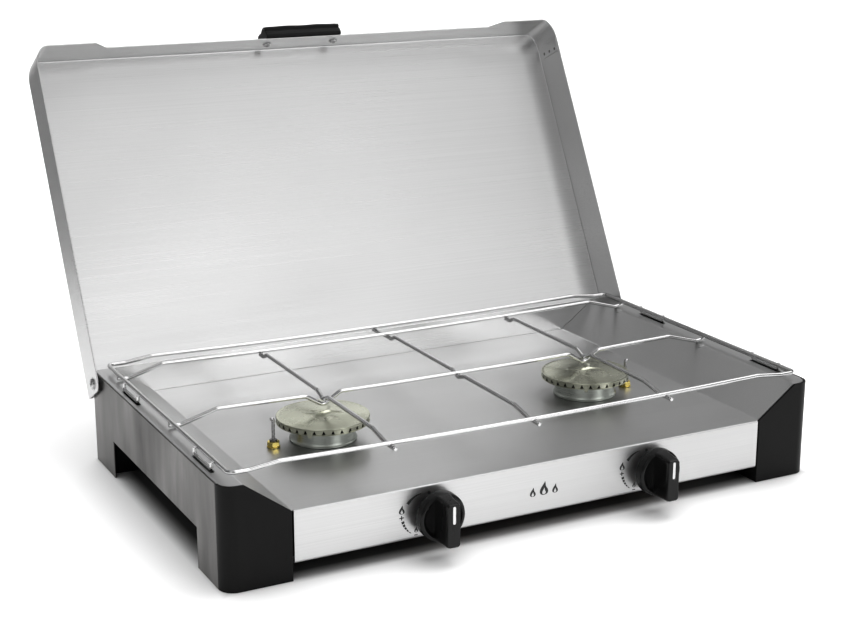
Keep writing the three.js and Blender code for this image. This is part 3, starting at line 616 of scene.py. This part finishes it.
def dial_print(side):
    x, z = taps[side].x, taps[side].z
    ring_x = x + DIAL_CENTRE
    marks = [
        print_shape(circle(1.3, 32), x - 4.2, z + 15.4),
        print_shape(wedge_outline(15.8, 6, 54, 0.5, 2.6), ring_x, z),
        flame(7.0, x - 26.6, z + 2.2),
        print_shape(bar_outline(3.6, 0.85), x - 26.8, z - 0.7),
        print_shape(bar_outline(0.85, 3.6), x - 26.8, z - 0.7),
        flame(4.4, x - 14.8, z - 14.2),
        print_shape(bar_outline(2.7, 0.8), x - 15, z - 16.2),
    ]
    dashes = 5
    for i in range(dashes):
        start = 102 + i * 9
        thick = 2.5 - i * 0.42
        dash = wedge_outline(17.3, start, start + 6.8, thick, thick - 0.34, 4)
        marks.append(print_shape(dash, ring_x, z))
    finish_piece(f"{side}_dial_print", together(*marks), INK, None, "base")


def front_mark():
    """A plain row of three flames in the middle of the fascia."""
    flames = [flame(height, x, 27.5) for height, x in ((7.5, -8.5), (11, 1.5), (7.5, 11.5))]
    finish_piece("fascia_flame_print", together(*flames), INK, None, "base")


for side, _ in SIDES:
    dial_print(side)
front_mark()


# ---- Burners ----------------------------------------------------------------------------------
CAP_LOW, CAP_HIGH = span("right_burner_cap")
CAP_RADIUS = (CAP_HIGH.x - CAP_LOW.x) / 2
CAP_TOP = CAP_HIGH.z
CAP_BOTTOM = CAP_TOP - 8.0
CAP_RIM = CAP_TOP - 3.0
SLOT_LOW = CAP_BOTTOM + 0.9
SLOT_HIGH = SLOT_LOW + 3.3
SLOT_HALF = 1.5
CUP_RADIUS = span("right_burner_cup")[1].x - burners["right"].x
CUP_TOP = span("right_burner_cup")[1].z
FLAME_SLOTS = 32
TAB_TURN = {"left": -40, "right": -31}  # of a cap's first tab, from straight ahead, in degrees


def stamped(x, y):
    """Height of the two crescents pressed into the cap, each one a ridge beside a hollow."""
    height = 0.0
    for turn in (1, -1):
        u, v = turn * x + 2, turn * y - 13
        r = math.hypot(u, v)
        reach = max(0.0, math.cos(math.atan2(v, u) + 1.15)) ** 0.4
        ridge = 0.65 * math.exp(-(((r - 13.5) / 1.4) ** 2))
        hollow = 0.5 * math.exp(-(((r - 9.5) / 2.8) ** 2))
        height += (ridge - hollow) * reach
    return height


def burner_cap(side):
    inner = CAP_RADIUS - 1.2
    face = CAP_RADIUS - 0.35
    top = []
    rings = 44
    for i in range(rings + 1):
        radius = (CAP_RADIUS - 1.9) * (1 - i / rings)
        swell = (CAP_TOP - 0.75 - CAP_RIM) * (1 - (radius / CAP_RADIUS) ** 1.9)
        top.append((radius, CAP_RIM + swell - 0.15))
    profile = [
        (0, CAP_RIM - 1.4), (inner - 1, CAP_RIM - 1.4),
        (inner, CAP_RIM - 2.0), (inner, CAP_BOTTOM + 0.15),
        (inner + 0.2, CAP_BOTTOM), (CAP_RADIUS - 0.15, CAP_BOTTOM), (CAP_RADIUS, CAP_BOTTOM + 0.15),
        (CAP_RADIUS, CAP_BOTTOM + 0.65), (face, CAP_BOTTOM + 0.8), (face, CAP_RIM - 1.2),
        (CAP_RADIUS - 0.05, CAP_RIM - 0.8), (CAP_RADIUS, CAP_RIM - 0.3),
        (CAP_RADIUS - 0.25, CAP_RIM + 0.12),
        (CAP_RADIUS - 0.8, CAP_RIM + 0.28), (CAP_RADIUS - 1.4, CAP_RIM + 0.12), *top,
    ]
    first_top = len(profile) - len(top)

    def height(k, r, z, angle):
        if k < first_top or r == 0:
            return z
        return z + stamped(r * math.cos(angle), r * math.sin(angle)) * min(1.0, (CAP_RADIUS - r) / 8)

    cap = lathe(profile, 256, height_at=height)
    slot_outline = [(-SLOT_HALF, SLOT_LOW), (SLOT_HALF, SLOT_LOW), (0, SLOT_HIGH)]
    slots = []
    for i in range(FLAME_SLOTS):
        slot = prism(slot_outline, CAP_RADIUS - 3, CAP_RADIUS + 2, "x")
        slots.append(turned(slot, (i + 0.5) * 360 / FLAME_SLOTS - 90 + TAB_TURN[side], "Z"))
    cap = cut(cap, *slots)
    seat = lathe(
        [
            (CUP_RADIUS - 7, CUP_TOP - 6), (CUP_RADIUS - 5, CUP_TOP - 6),
            (CUP_RADIUS - 5, CAP_RIM - 1), (CUP_RADIUS - 7, CAP_RIM - 1),
        ],
        64,
    )
    tabs = []
    for i in range(3):
        tab = prism(rounded([(-1.6, 3), (-1.6, -2.0), (1.6, -2.0), (1.6, 3)], 0.8, 4), -0.4, 0.4, "y")
        tab = shifted(softened(tab, 0.15), 0, -CAP_RADIUS + 0.45, CAP_BOTTOM)
        tabs.append(turned(tab, i * 120 + TAB_TURN[side], "Z"))
    cap = together(cap, seat, *tabs)
    shifted(cap, burners[side].x, burners[side].y)
    finish_piece(
        f"{side}_burner_cap_pressed", cap, CAP_METAL, "burner_cap_metal", "base",
        f"{side}_burner_cap", smooth=32,
    )
    # painted shade: a near black ring inside the cap shows through the flame slots as their dark inside
    liner = lathe([
        (inner - 1, CAP_BOTTOM + 0.3), (inner - 0.1, CAP_BOTTOM + 0.3),
        (inner - 0.1, CAP_RIM - 2.1), (inner - 1, CAP_RIM - 1.6),
    ])
    shifted(liner, burners[side].x, burners[side].y)
    finish_piece(f"{side}_burner_liner", liner, BLACK_SLOT_SHADE, "burner_cap_metal", "base")


def burner_cup(side):
    base = HOB + GAP
    profile = [
        (7, 41), (9, 41), (9, base),
        (CUP_RADIUS - 0.3, base), (CUP_RADIUS, base + 0.3), (CUP_RADIUS, base + 1.3),
        (CUP_RADIUS - 0.9, base + 2.2), (CUP_RADIUS - 1.3, base + 4), (CUP_RADIUS - 1.3, CUP_TOP - 2.4),
        (CUP_RADIUS - 0.3, CUP_TOP - 1.6), (CUP_RADIUS, CUP_TOP - 1.2), (CUP_RADIUS, CUP_TOP - 0.3),
        (CUP_RADIUS - 0.3, CUP_TOP), (CUP_RADIUS - 1.8, CUP_TOP), (CUP_RADIUS - 2.6, CUP_TOP - 1),
        (CUP_RADIUS - 2.8, base + 2.8), (CUP_RADIUS - 3.2, base + 2.4), (7, base + 2.4),
    ]
    cup = shifted(lathe(profile), burners[side].x, burners[side].y)
    finish_piece(
        f"{side}_burner_cup_turned", cup, ALUMINIUM, "burner_aluminium", "base", f"{side}_burner_cup"
    )


def nut(across_flats, low, high):
    """A hexagon with its corners turned off, above and below."""
    chamfer = 0.5
    radius = across_flats / math.sqrt(3)
    hexagon = prism(circle(radius, 6), low, high, "z")
    flat = across_flats / 2 - 0.2
    turning = lathe(
        [
            (0, low), (flat, low), (radius, low + chamfer),
            (radius, high - chamfer), (flat, high), (0, high),
        ],
        64,
    )
    return through(hexagon, "BOOLEAN", turning, operation="INTERSECT")


ROD = 1.35  # radius of the probes' rods


def flame_sensor(side):
    """The probe beside a burner: brass washer and nut, dark collar, bright rod with a small hook."""
    x, y = probes[side].x, probes[side].y
    low, high = span(f"{side}_thermocouple")
    outward = 1 if x > 0 else -1
    hook = [(0, 0, low.z), (0, 0, high.z - ROD), (outward * 2.4, 0, high.z - ROD)]
    rod = tube(rounded(hook, 1.5, 6), ROD, 20)
    bore = ROD + 0.1
    collar = lathe(
        [(bore, HOB + 4.8), (3.2, HOB + 4.8), (3.2, HOB + 5.9), (2.7, HOB + 6.4), (bore, HOB + 6.4)],
        48,
    )
    lower = lathe([(bore, HOB - 4), (3, HOB - 4), (3, HOB + 0.4), (bore, HOB + 0.4)], 40)
    washer = lathe(
        [(bore, HOB + GAP), (5.3, HOB + GAP), (5.3, HOB + 1.0), (5.0, HOB + 1.2), (bore, HOB + 1.2)],
        48,
    )
    body = nut(9.2, HOB + 1.1, HOB + 4.9)
    place = Matrix.Translation((x, y, 0))
    finish_piece(
        f"{side}_probe_rod", moved(rod, place), HARDWARE, "fastener_steel", "base", f"{side}_thermocouple"
    )
    finish_piece(f"{side}_probe_collar", moved(collar, place), SLEEVE, "fastener_steel", "base")
    brass_parts = moved(together(washer, body, lower), place)
    finish_piece(f"{side}_probe_nut", brass_parts, BRASS, "brass", "base", f"{side}_thermocouple_nut")


for side, _ in SIDES:
    burner_cap(side)
    burner_cup(side)
    flame_sensor(side)


# ---- Pot support ------------------------------------------------------------------------------
WIRE = 1.7  # radius
GRID_HALF = 250.0
GRID_FRONT = 10.5
GRID_BACK = 293.0
GRID_SIDE = 86.5
GRID_TOP = 90.0
GRID_SAG = 2.5
FRAME_DROP = 0.8  # of the outer frame below the crosswise bars
SHOULDER = 212.0
WIRE_STEP = 3.7
BAR_BACK = middle("grid_back_bar").y
BAR_MIDDLE = middle("grid_middle_bar").y
BAR_X = middle("grid_right_bar").x
BAR_DIP = 11.1
DIP_HALF = 15.0
STATIONS = (-160, -110, -55, 0, 55, 110, 160)


def top_at(x):
    """Height of the long wires: level at the shoulders, lowest in the middle."""
    return GRID_TOP - GRID_SAG * (1 - (x / SHOULDER) ** 2)


def outer_frame():
    def run(y, sign):
        half = [
            (-GRID_HALF, y, GRID_SIDE), (-GRID_HALF + 15, y, GRID_SIDE),
            (-SHOULDER, y, GRID_TOP - FRAME_DROP),
        ]
        points = half + [(x, y, top_at(x) - FRAME_DROP) for x in STATIONS]
        points += [(-a, b, c) for a, b, c in reversed(half)]
        return points if sign > 0 else list(reversed(points))

    corners = run(GRID_FRONT, 1) + run(GRID_BACK, -1)
    radii = [5 if abs(c[0]) == GRID_HALF else 18 for c in corners]
    return tube(rounded(corners, radii, 8, ring=True), WIRE, 20, ring=True)


def cross_bar(y, dips):
    end, under = GRID_HALF + 1, GRID_SIDE - WIRE_STEP
    rise = [(-end, y, under), (-GRID_HALF + 8, y, under - 1.2), (-SHOULDER, y, GRID_TOP)]
    if dips:
        span_points = [(-165, y, top_at(165))]
        for x in (-BAR_X, BAR_X):
            span_points += [
                (x - DIP_HALF, y, top_at(x)), (x, y, GRID_TOP - BAR_DIP), (x + DIP_HALF, y, top_at(x)),
            ]
            if x < 0:
                span_points += [(-60, y, top_at(60)), (60, y, top_at(60))]
        span_points.append((165, y, top_at(165)))
    else:
        span_points = [(x, y, top_at(x)) for x in STATIONS]
    fall = [(-a, b, c) for a, b, c in reversed(rise)]
    return tube(rounded(rise + span_points + fall, 6, 7), WIRE, 20)


def length_bar(x, rear, dip):
    top = top_at(x)
    under = top - WIRE_STEP
    half = DIP_HALF + 2 if dip > 5 else 11
    long_bar = rear > BAR_BACK + 10
    joggle = BAR_BACK if long_bar else rear
    corners = [(x, rear, under - FRAME_DROP)] if long_bar else []
    corners += [
        (x, joggle + 3, under), (x, joggle - 5, under), (x, joggle - 13, top),
        (x, BAR_MIDDLE + half, top),
        (x, BAR_MIDDLE, top - dip), (x, BAR_MIDDLE - half, top), (x, 44, top),
        (x, GRID_FRONT + 11, under - FRAME_DROP), (x, GRID_FRONT - 5, under - FRAME_DROP),
    ]
    return tube(rounded(corners, 5, 7), WIRE, 20)


def weld(x, y, z):
    """A small flattened bead where two wires are welded together."""
    bead = lathe([(0, -0.8), (0.8, -0.7), (1.2, -0.35), (1.3, 0), (1.2, 0.35), (0.8, 0.7), (0, 0.8)], 24)
    return shifted(bead, x, y, z)


def pot_support():
    def wire_piece(name, bm, *nodes):
        finish_piece(name, bm, CHROME, "chrome_wire", "pot_support", *nodes, smooth=60)

    outer_nodes = ("grid_front_wire", "grid_back_wire", "grid_left_wire", "grid_right_wire")
    wire_piece("grid_outer_frame", outer_frame(), *outer_nodes)
    burner_dip = top_at(BAR_X) - (GRID_TOP - BAR_DIP) - WIRE_STEP - 1.3
    bars = {
        "grid_back_bar": cross_bar(BAR_BACK, False),
        "grid_middle_bar": cross_bar(BAR_MIDDLE, True),
        "grid_left_bar": length_bar(-BAR_X, BAR_BACK, burner_dip),
        "grid_centre_bar": length_bar(0, GRID_BACK + 4, WIRE_STEP),
        "grid_right_bar": length_bar(BAR_X, BAR_BACK, burner_dip),
    }
    for name, bar in bars.items():
        wire_piece(f"{name}_bent", bar, name)
    for side, _ in SIDES:
        for end in ("front", "rear"):
            name = f"grid_{side}_{end}_clip"
            low, high = span(name)
            x, r = (low.x + high.x) / 2, (high.x - low.x) / 2
            path = [
                (x, low.y + r, high.z), (x, low.y + r, low.z + r),
                (x, high.y - r, low.z + r), (x, high.y - r, high.z),
            ]
            wire_piece(f"{name}_bent", tube(rounded(path, 2.5, 7), r, 16), name)
    beads = []
    for x in (-BAR_X, 0, BAR_X):
        beads.append(weld(x, GRID_FRONT, top_at(x) - FRAME_DROP - WIRE_STEP / 2))
        beads.append(weld(x, BAR_BACK, top_at(x) - WIRE_STEP / 2))
    beads.append(weld(0, BAR_MIDDLE, top_at(60) - WIRE_STEP / 2))
    beads.append(weld(0, GRID_BACK, top_at(0) - FRAME_DROP - WIRE_STEP / 2))
    for _, sign in SIDES:
        for y in (BAR_MIDDLE, BAR_BACK):
            beads.append(weld(sign * GRID_HALF, y, GRID_SIDE - WIRE_STEP / 2))
    wire_piece("grid_weld_beads", together(*beads))


pot_support()


# ---- Knobs ------------------------------------------------------------------------------------
SHOULDER_SHARE = 0.655  # of a knob's depth, from its front to the face of its skirt
GRIP_UP = 16.0  # how far the grip's front reaches above and below the knob's axis
GRIP_DOWN = 17.6
GRIP_EASES = (0.45, 1.05)  # how much smaller the grip's last two sections are, all round


def knob(side):
    low, high = span(f"{side}_knob")
    radius = (high.x - low.x) / 2
    back, front = high.y, low.y
    depth = back - front
    shoulder = front + depth * SHOULDER_SHARE
    skirt = lathe(
        [
            (0, 0), (radius - 0.9, 0), (radius - 0.3, 0.3), (radius, 0.9),
            (radius - 0.25, back - shoulder - 2.2),
            (radius - 0.7, back - shoulder - 1.1), (radius - 1.6, back - shoulder - 0.25),
            (radius - 2.6, back - shoulder), (radius - 3.4, back - shoulder - 0.35),
            (radius - 4.3, back - shoulder - 1.5), (radius - 5.5, back - shoulder - 2.0),
            (0, back - shoulder - 1.4),
        ],
        128,
    )
    turned(skirt, 90, "X")
    sections = 14
    root = back - shoulder - 4
    loops = []
    for i in range(sections + 1):
        share = i / sections
        y = root + (depth - root) * min(1.0, share * 1.06)
        width = 4.95 + 2.6 * (1 - share) ** 3 + 0.55 * share ** 2
        upper = (radius - 0.9) + (GRIP_UP - radius + 0.9) * share ** 1.5
        lower = -(radius - 0.9) + (radius - 0.9 - GRIP_DOWN) * share ** 1.5
        ease = GRIP_EASES[i - sections + 1] if i >= sections - 1 else 0.0
        corners = rectangle(-width + ease, lower + ease, width - ease, upper - ease)
        outline = rounded(corners, 2.2, 5, ring=True)
        loops.append([(a, -y, b) for a, b in outline])
    grip = bmesh.new()
    skin(grip, loops)
    closed(grip)
    body = softened(joined(skirt, grip), 0.35, 2, 50)
    shifted(body, (low.x + high.x) / 2, back, taps[side].z)
    finish_piece(
        f"{side}_knob_moulded", body, KNOB_PLASTIC, "black_plastic", f"{side}_control",
        f"{side}_knob", smooth=40,
    )
    mark_low, mark_high = span(f"{side}_knob_mark")
    corners = rectangle(mark_low.x, mark_low.z, mark_high.x, mark_high.z)
    outline = rounded(corners, (mark_high.x - mark_low.x) / 2 - 0.1, 7, ring=True)
    mark = prism([tuple(p) for p in outline], front - 0.08, front + 0.6, "y")
    finish_piece(
        f"{side}_knob_line", softened(mark, 0.06), WHITE, "white_plastic", f"{side}_control",
        f"{side}_knob_mark",
    )


for side, _ in SIDES:
    knob(side)


# ---- Lid, drawn closed around its hinge axis --------------------------------------------------
LID_HALF = 263.2
LID_INSIDE = 22.0  # height of the panel's inner face over the hinge axis
LID_LENGTH = 298.5
LID_TAIL = 8.5  # how far the lid reaches behind the hinge axis
WALL_DEEP = 15.0  # how far its walls reach below the axis, at the sides and in front
WALL_FRONT = 3.0
CORNER = (12.0, 21.0)  # half axes of the rounded front corners, in x and y
NOTCH = (196.0, 208.0)  # where the front wall deepens towards the side walls
TAIL_ROUND = 8.0
PANEL_BEND = 2.2
HANDLE_HALF = 38.0
HANDLE_SHIFT = -4.0
HANDLE_SCREW_X = 34.0
HANDLE_SCREW_DROP = 13.0  # below the panel's inner face


def wall_bottom(x, y):
    """How far down the lid's wall reaches at a plan point."""
    if y > LID_TAIL - TAIL_ROUND:
        along = y - (LID_TAIL - TAIL_ROUND)
        return -WALL_DEEP + TAIL_ROUND - math.sqrt(max(0.0, TAIL_ROUND ** 2 - along ** 2))
    if y < -LID_LENGTH + 2:
        share = min(1.0, max(0.0, (abs(x) - NOTCH[0]) / (NOTCH[1] - NOTCH[0])))
        return -WALL_FRONT - (WALL_DEEP - WALL_FRONT) * share
    return -WALL_DEEP


def lid_stations():
    """Points and outward normals around the lid's plan, from its left tail to its right one."""
    half = []
    for i in range(9):
        y = LID_TAIL - TAIL_ROUND * (1 - math.cos(math.pi / 2 * i / 8))
        half.append(((-LID_HALF, y), (-1.0, 0.0)))
    half.append(((-LID_HALF, -LID_LENGTH / 2), (-1.0, 0.0)))
    steps = 14
    for i in range(steps + 1):
        angle = math.pi / 2 * i / steps
        x = -LID_HALF + CORNER[0] * (1 - math.cos(angle))
        y = -LID_LENGTH + CORNER[1] * (1 - math.sin(angle))
        normal = Vector((-math.cos(angle) * CORNER[1], -math.sin(angle) * CORNER[0])).normalized()
        half.append(((x, y), tuple(normal)))
    deep, shallow = NOTCH[1], NOTCH[0]
    for x in (deep + 1.5, deep + 0.4, deep - 1.2, shallow + 1.2, shallow - 0.4, shallow - 1.5, 100.0):
        half.append(((-x, -LID_LENGTH), (0.0, -1.0)))
    return half + [((-x, y), (-a, b)) for (x, y), (a, b) in reversed(half)]


def lid_section(x, y, normal_x, normal_y):
    """The wall's outline at one station: outer face, lower edge, inner face, both bends."""
    outer = LID_INSIDE + SHEET
    bottom = wall_bottom(x, y)
    flat = [(-PANEL_BEND - SHEET, outer), (0, outer), (0, bottom), (-SHEET, bottom), (-SHEET, LID_INSIDE)]
    flat.append((-PANEL_BEND - SHEET, LID_INSIDE))
    path = rounded(flat, [0, PANEL_BEND + SHEET - 0.05, 0.35, 0.35, PANEL_BEND - 0.05, 0], 5)
    return [(x + normal_x * out, y + normal_y * out, z) for out, z in path]


def lid_shell():
    bm = bmesh.new()
    sections = [lid_section(x, y, a, b) for (x, y), (a, b) in lid_stations()]
    rows = skin(bm, sections, caps=False, open_loops=True)
    bm.faces.new([row[0] for row in rows])
    bm.faces.new([row[-1] for row in reversed(rows)])
    bm.faces.new(list(reversed(rows[0])))
    bm.faces.new(rows[-1])
    bm.faces.new((rows[0][0], rows[0][-1], rows[-1][-1], rows[-1][0]))
    closed(bm)
    reach = LID_HALF - SHEET - PANEL_BEND
    lip = block(-reach, reach, LID_TAIL - SHEET, LID_TAIL - 0.02, LID_INSIDE - 5.5, LID_INSIDE + 0.2)
    sheet = moved(together(bm, softened(lip, 0.2)), LID_POSE)
    finish_piece("lid_sheet", sheet, LID_STEEL, "brushed_steel", "lid", "lid_shell", smooth=28)


def lid_corner_welds():
    """The front wall's tongues, lapped inside the side walls, and their spot welds."""
    tongues, spots = [], []
    for _, sign in SIDES:
        inner = LID_HALF - SHEET
        y = -LID_LENGTH + CORNER[1]
        corners = [
            (y - 1.5, LID_INSIDE - 3), (y + 10, LID_INSIDE - 6), (y + 12.5, -13.6), (y - 1.5, -14.2),
        ]
        tongue = prism(rounded(corners, 1.2, 4, ring=True), inner - 0.62, inner - 0.05, "x")
        if sign < 0:
            moved(tongue, MIRROR)
        tongues.append(softened(tongue, 0.15))
        for height in (12, 2, -8):
            spot = lathe([(0, 0), (1.5, 0), (1.2, 0.22), (0.6, 0.1), (0, 0.05)], 24)
            turned(spot, -90 * sign, "Y")
            spots.append(shifted(spot, sign * (inner - 0.6), y + 6 + (12 - height) * 0.12, height))
    for name, parts, look in (
        ("lid_corner_tongues", tongues, LID_STEEL),
        ("lid_spot_welds", spots, SLEEVE),
    ):
        finish_piece(name, moved(together(*parts), LID_POSE), look, "brushed_steel", "lid")


def lid_handle():
    """A moulded grip with two rounded beads and a groove between them, screwed on from inside."""
    back = -LID_LENGTH - GAP
    out = 12.5
    profile = [
        (back, LID_INSIDE - 2.2), (back, -4.6), (back - 2.5, -5.0), (back - 6.2, -4.0),
        (back - 7.6, -2.0), (back - 9.6, -3.4), (back - 11.6, -2.6), (back - out, 0.2),
        (back - out + 0.2, 4.0), (back - 10.6, 7.4), (back - 9.9, 10.0), (back - 10.6, 12.6),
        (back - 10.2, 16.2), (back - 8.2, 19.2), (back - 4.5, LID_INSIDE - 2),
    ]
    outline = rounded(profile, [0.8, 0.8] + [2.4] * 11 + [3, 3], 5, ring=True)
    stations = 18
    loops = []
    for i in range(stations + 1):
        share = i / stations
        x = -HANDLE_HALF + 2 * HANDLE_HALF * share
        ends = min(share, 1 - share) * 2 * HANDLE_HALF
        inset = max(0.0, 1.6 - ends) * 0.35
        wave = 0.22 * math.sin(share * 5 * math.pi)
        loops.append([
            (x + HANDLE_SHIFT, back + (a - back) * (1 - inset * 0.06) + (wave if a < back - 6 else 0),
             9 + (b - 9) * (1 - inset * 0.05))
            for a, b in outline
        ])
    bm = bmesh.new()
    skin(bm, loops)
    bar = softened(closed(bm), 0.5, 3, 60)
    finish_piece(
        "lid_handle_moulded", moved(bar, LID_POSE), PLASTIC, "black_plastic", "lid", "lid_handle",
        smooth=50,
    )


def dome_screw(radius, height, washer):
    """A domed head with a cross recess, standing at z = 0 on a washer of that thickness."""
    angles = [math.pi / 2 * i / 7 for i in range(1, 7)]
    dome = [(radius * math.cos(a), height * (0.25 + 0.75 * math.sin(a))) for a in angles]
    head = lathe([(0, 0), (radius, 0), (radius, height * 0.25), *dome, (0, height)], 40)
    arm, wide = radius * 0.55, radius * 0.13
    for a, b in ((arm, wide), (wide, arm)):
        head = cut(head, block(-a, a, -b, b, height * 0.45, height * 2))
    bore, rim = radius * 0.5, radius * 1.22
    ring = lathe([(bore, -washer), (rim, -washer), (rim, 0), (bore, 0)], 48)
    return together(softened(head, 0.06, 1), softened(ring, 0.1, 1, 50))


def lid_screws():
    face = -LID_LENGTH + SHEET + GAP
    for side, sign in SIDES:
        screw = together(
            dome_screw(3.5, 2.0, 0.25),
            lathe([(0, -7), (1.9, -7), (1.9, 0), (0, 0)], 32),
        )
        turned(screw, -90, "X")
        shifted(
            screw, HANDLE_SHIFT + sign * HANDLE_SCREW_X, face, LID_INSIDE - HANDLE_SCREW_DROP
        )
        finish_piece(
            f"{side}_handle_screw_head", moved(screw, LID_POSE), HARDWARE, "fastener_steel", "lid",
            f"{side}_handle_screw",
        )
        low, high = span(f"{side}_hinge_screw")
        length = high.x - low.x
        pin = together(
            dome_screw(4.5, 1.95, 0.3),
            lathe([(0, -(length - 2)), (2.55, -(length - 2)), (2.55, 0), (0, 0)], 40),
        )
        turned(pin, 90 * sign, "Y")
        shifted(pin, sign * (max(abs(low.x), abs(high.x)) - 2), HINGE.y, HINGE.z)
        finish_piece(
            f"{side}_hinge_screw_turned", pin, HARDWARE, "fastener_steel", "base", f"{side}_hinge_screw"
        )


lid_shell()
lid_corner_welds()
lid_handle()
lid_screws()


# ---- CAD nodes that stay ----------------------------------------------------------------------
def finish_node(name, look):
    """A CAD node that shows as it is: its material, small rounds on its edges, even shading."""
    kept = frame["nodes"][name]
    mesh = kept.data
    mesh.materials.clear()
    mesh.materials.append(look)
    for polygon in mesh.polygons:
        polygon.use_smooth = True
    if "custom_normal" in mesh.attributes:
        mesh.attributes.remove(mesh.attributes["custom_normal"])
    weld_step = kept.modifiers.new("one surface", "WELD")
    weld_step.merge_threshold = 1e-6
    bevel = kept.modifiers.new("soft edges", "BEVEL")
    bevel.width = 0.0002
    bevel.segments = 2
    bevel.angle_limit = math.radians(40)
    bevel.harden_normals = True


slots = {row["node"]: row["material_slot"] for row in frame["record"]["subparts"]}
for name, cad in frame["nodes"].items():
    if not cad.hide_render:
        finish_node(name, LOOKS[slots[name]])


# ---- Stage, light and camera ------------------------------------------------------------------
FLOOR_HALF = 30.0  # metres
SKY = 0.16
# Azimuth from the front towards the right, elevation, reach, softness, added brightness.
SKY_LIGHTS = (
    (25, 17, 6, 7, 2.4),
    (22, 32, 6, 14, 1.1),
    (22, 42, 8, 17, 0.32),
    (90, 56, 14, 18, 2.0),
    (0, 90, 8, 16, 0.7),
    (-42, 36, 8, 18, 0.8),
    (180, 30, 20, 40, 0.25),
)
SUN_ANGLE = 70  # degrees across, so that shadows stay soft
SUN_STRENGTH = 2.75
EXPOSURE = 0.12
GAMMA = 0.88
FOCAL_LENGTH = 69.3
CAMERA_PLACE = (-620.5, -997.1, 501.0)
CAMERA_AZIMUTH = 27.5
CAMERA_DOWN = 15.6


def worked_out(tree, operation, first, second=0.5):
    return node(tree, "ShaderNodeMath", {0: first, 1: second}, operation=operation).outputs[0]


def painted_shadow_under_body(tree):
    """Mask of the shadow painted on the floor: grows from 0 at the body's outline to 1 well under it."""
    coordinates = node(tree, "ShaderNodeTexCoord")
    low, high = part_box("hob_tray")
    centre = (low + high) / 2
    inward = None
    for axis in (0, 1):
        place = node(tree, "ShaderNodeSeparateXYZ", {"Vector": coordinates.outputs["Object"]})
        offset = worked_out(tree, "SUBTRACT", place.outputs[axis], centre[axis])
        away = worked_out(tree, "ABSOLUTE", offset)
        depth = worked_out(tree, "SUBTRACT", high[axis] - centre[axis], away)
        inward = depth if inward is None else worked_out(tree, "MINIMUM", depth, inward)
    return between(tree, inward, 0.0, 1.0, -0.004, 0.016)


def stage_floor():
    made, tree, shader = blank_material("pale floor with painted shadow")
    cloud = grain(tree, (1.5, 1.5, 1.5), detail=2.0)
    pale = blended(tree, between(tree, cloud, 0.0, 1.0), grey(0.90), grey(0.93))
    # painted shadow: under the body the floor's colour falls to near black, soft at its outline
    tree.links.new(blended(tree, painted_shadow_under_body(tree), pale, grey(0.06)), shader.inputs["Base Color"])
    shader.inputs["Roughness"].default_value = 0.6
    mesh = bpy.data.meshes.new("floor")
    corners = [(x, y, 0) for x, y in rectangle(-FLOOR_HALF, -FLOOR_HALF, FLOOR_HALF, FLOOR_HALF)]
    mesh.from_pydata(corners, [], [(0, 1, 2, 3)])
    mesh.materials.append(made)
    floor = placed("floor", mesh)


def sky_patch(tree, azimuth, elevation, reach, soft, strength):
    """Brightness of one soft light in the studio's sky, seen from the stove. Angles in degrees."""
    turn, rise = math.radians(azimuth), math.radians(elevation)
    centre = (math.sin(turn) * math.cos(rise), -math.cos(turn) * math.cos(rise), math.sin(rise))
    coordinates = node(tree, "ShaderNodeTexCoord")
    near = node(
        tree,
        "ShaderNodeVectorMath",
        {0: coordinates.outputs["Generated"], 1: centre},
        operation="DOT_PRODUCT",
    )
    start, stop = math.cos(math.radians(reach + soft)), math.cos(math.radians(reach))
    return between(tree, near.outputs["Value"], 0.0, strength, start, stop, "SMOOTHSTEP")


def flag(name, near, far, height):
    """A grey card beside the picture that shows in the metal only."""
    made, tree, shader = blank_material(name)
    cloud = grain(tree, (2, 2, 2), detail=1.0)
    tone = blended(tree, between(tree, cloud, 0.0, 1.0), grey(0.16), grey(0.24))
    tree.links.new(tone, shader.inputs["Base Color"])
    shader.inputs["Roughness"].default_value = 0.9
    mesh = bpy.data.meshes.new(name)
    corners = [(*near, 0), (*far, 0), (*far, height), (*near, height)]
    mesh.from_pydata(corners, [], [(0, 1, 2, 3)])
    mesh.materials.append(made)
    card = placed(name, mesh)
    card.visible_camera = False
    card.visible_diffuse = False
    card.visible_shadow = False


def studio():
    world = bpy.data.worlds.new("studio")
    bpy.context.scene.world = world
    world.use_nodes = True
    tree = world.node_tree
    total = SKY
    for light in SKY_LIGHTS:
        patch = sky_patch(tree, *light)
        total = worked_out(tree, "ADD", patch, total)
    background = tree.nodes["Background"]
    background.inputs["Color"].default_value = (1, 1, 1, 1)
    tree.links.new(total, background.inputs["Strength"])
    sun = bpy.data.lights.new("soft sun", "SUN")
    sun.angle = math.radians(SUN_ANGLE)
    sun.energy = SUN_STRENGTH
    made = placed("soft sun", sun)
    made.rotation_euler = Vector((-0.1, -0.3, -1)).to_track_quat("-Z", "Y").to_euler()
    made.visible_glossy = False
    settings = bpy.context.scene.view_settings
    settings.view_transform = "Standard"
    settings.exposure = EXPOSURE
    settings.gamma = GAMMA


def camera():
    data = bpy.data.cameras.new("camera")
    made = placed("camera", data)
    data.sensor_width = 36
    data.lens = FOCAL_LENGTH
    azimuth, down = math.radians(CAMERA_AZIMUTH), math.radians(CAMERA_DOWN)
    across, depth = math.sin(azimuth), math.cos(azimuth)
    look = Vector((across * math.cos(down), depth * math.cos(down), -math.sin(down)))
    made.location = TO_FRAME @ Vector(CAMERA_PLACE)
    made.rotation_euler = look.to_track_quat("-Z", "Y").to_euler()
    bpy.context.scene.camera = made


stage_floor()
flag("left flag", (-0.42, 0.12), (-0.42, 1.8), 0.6)
studio()
camera()
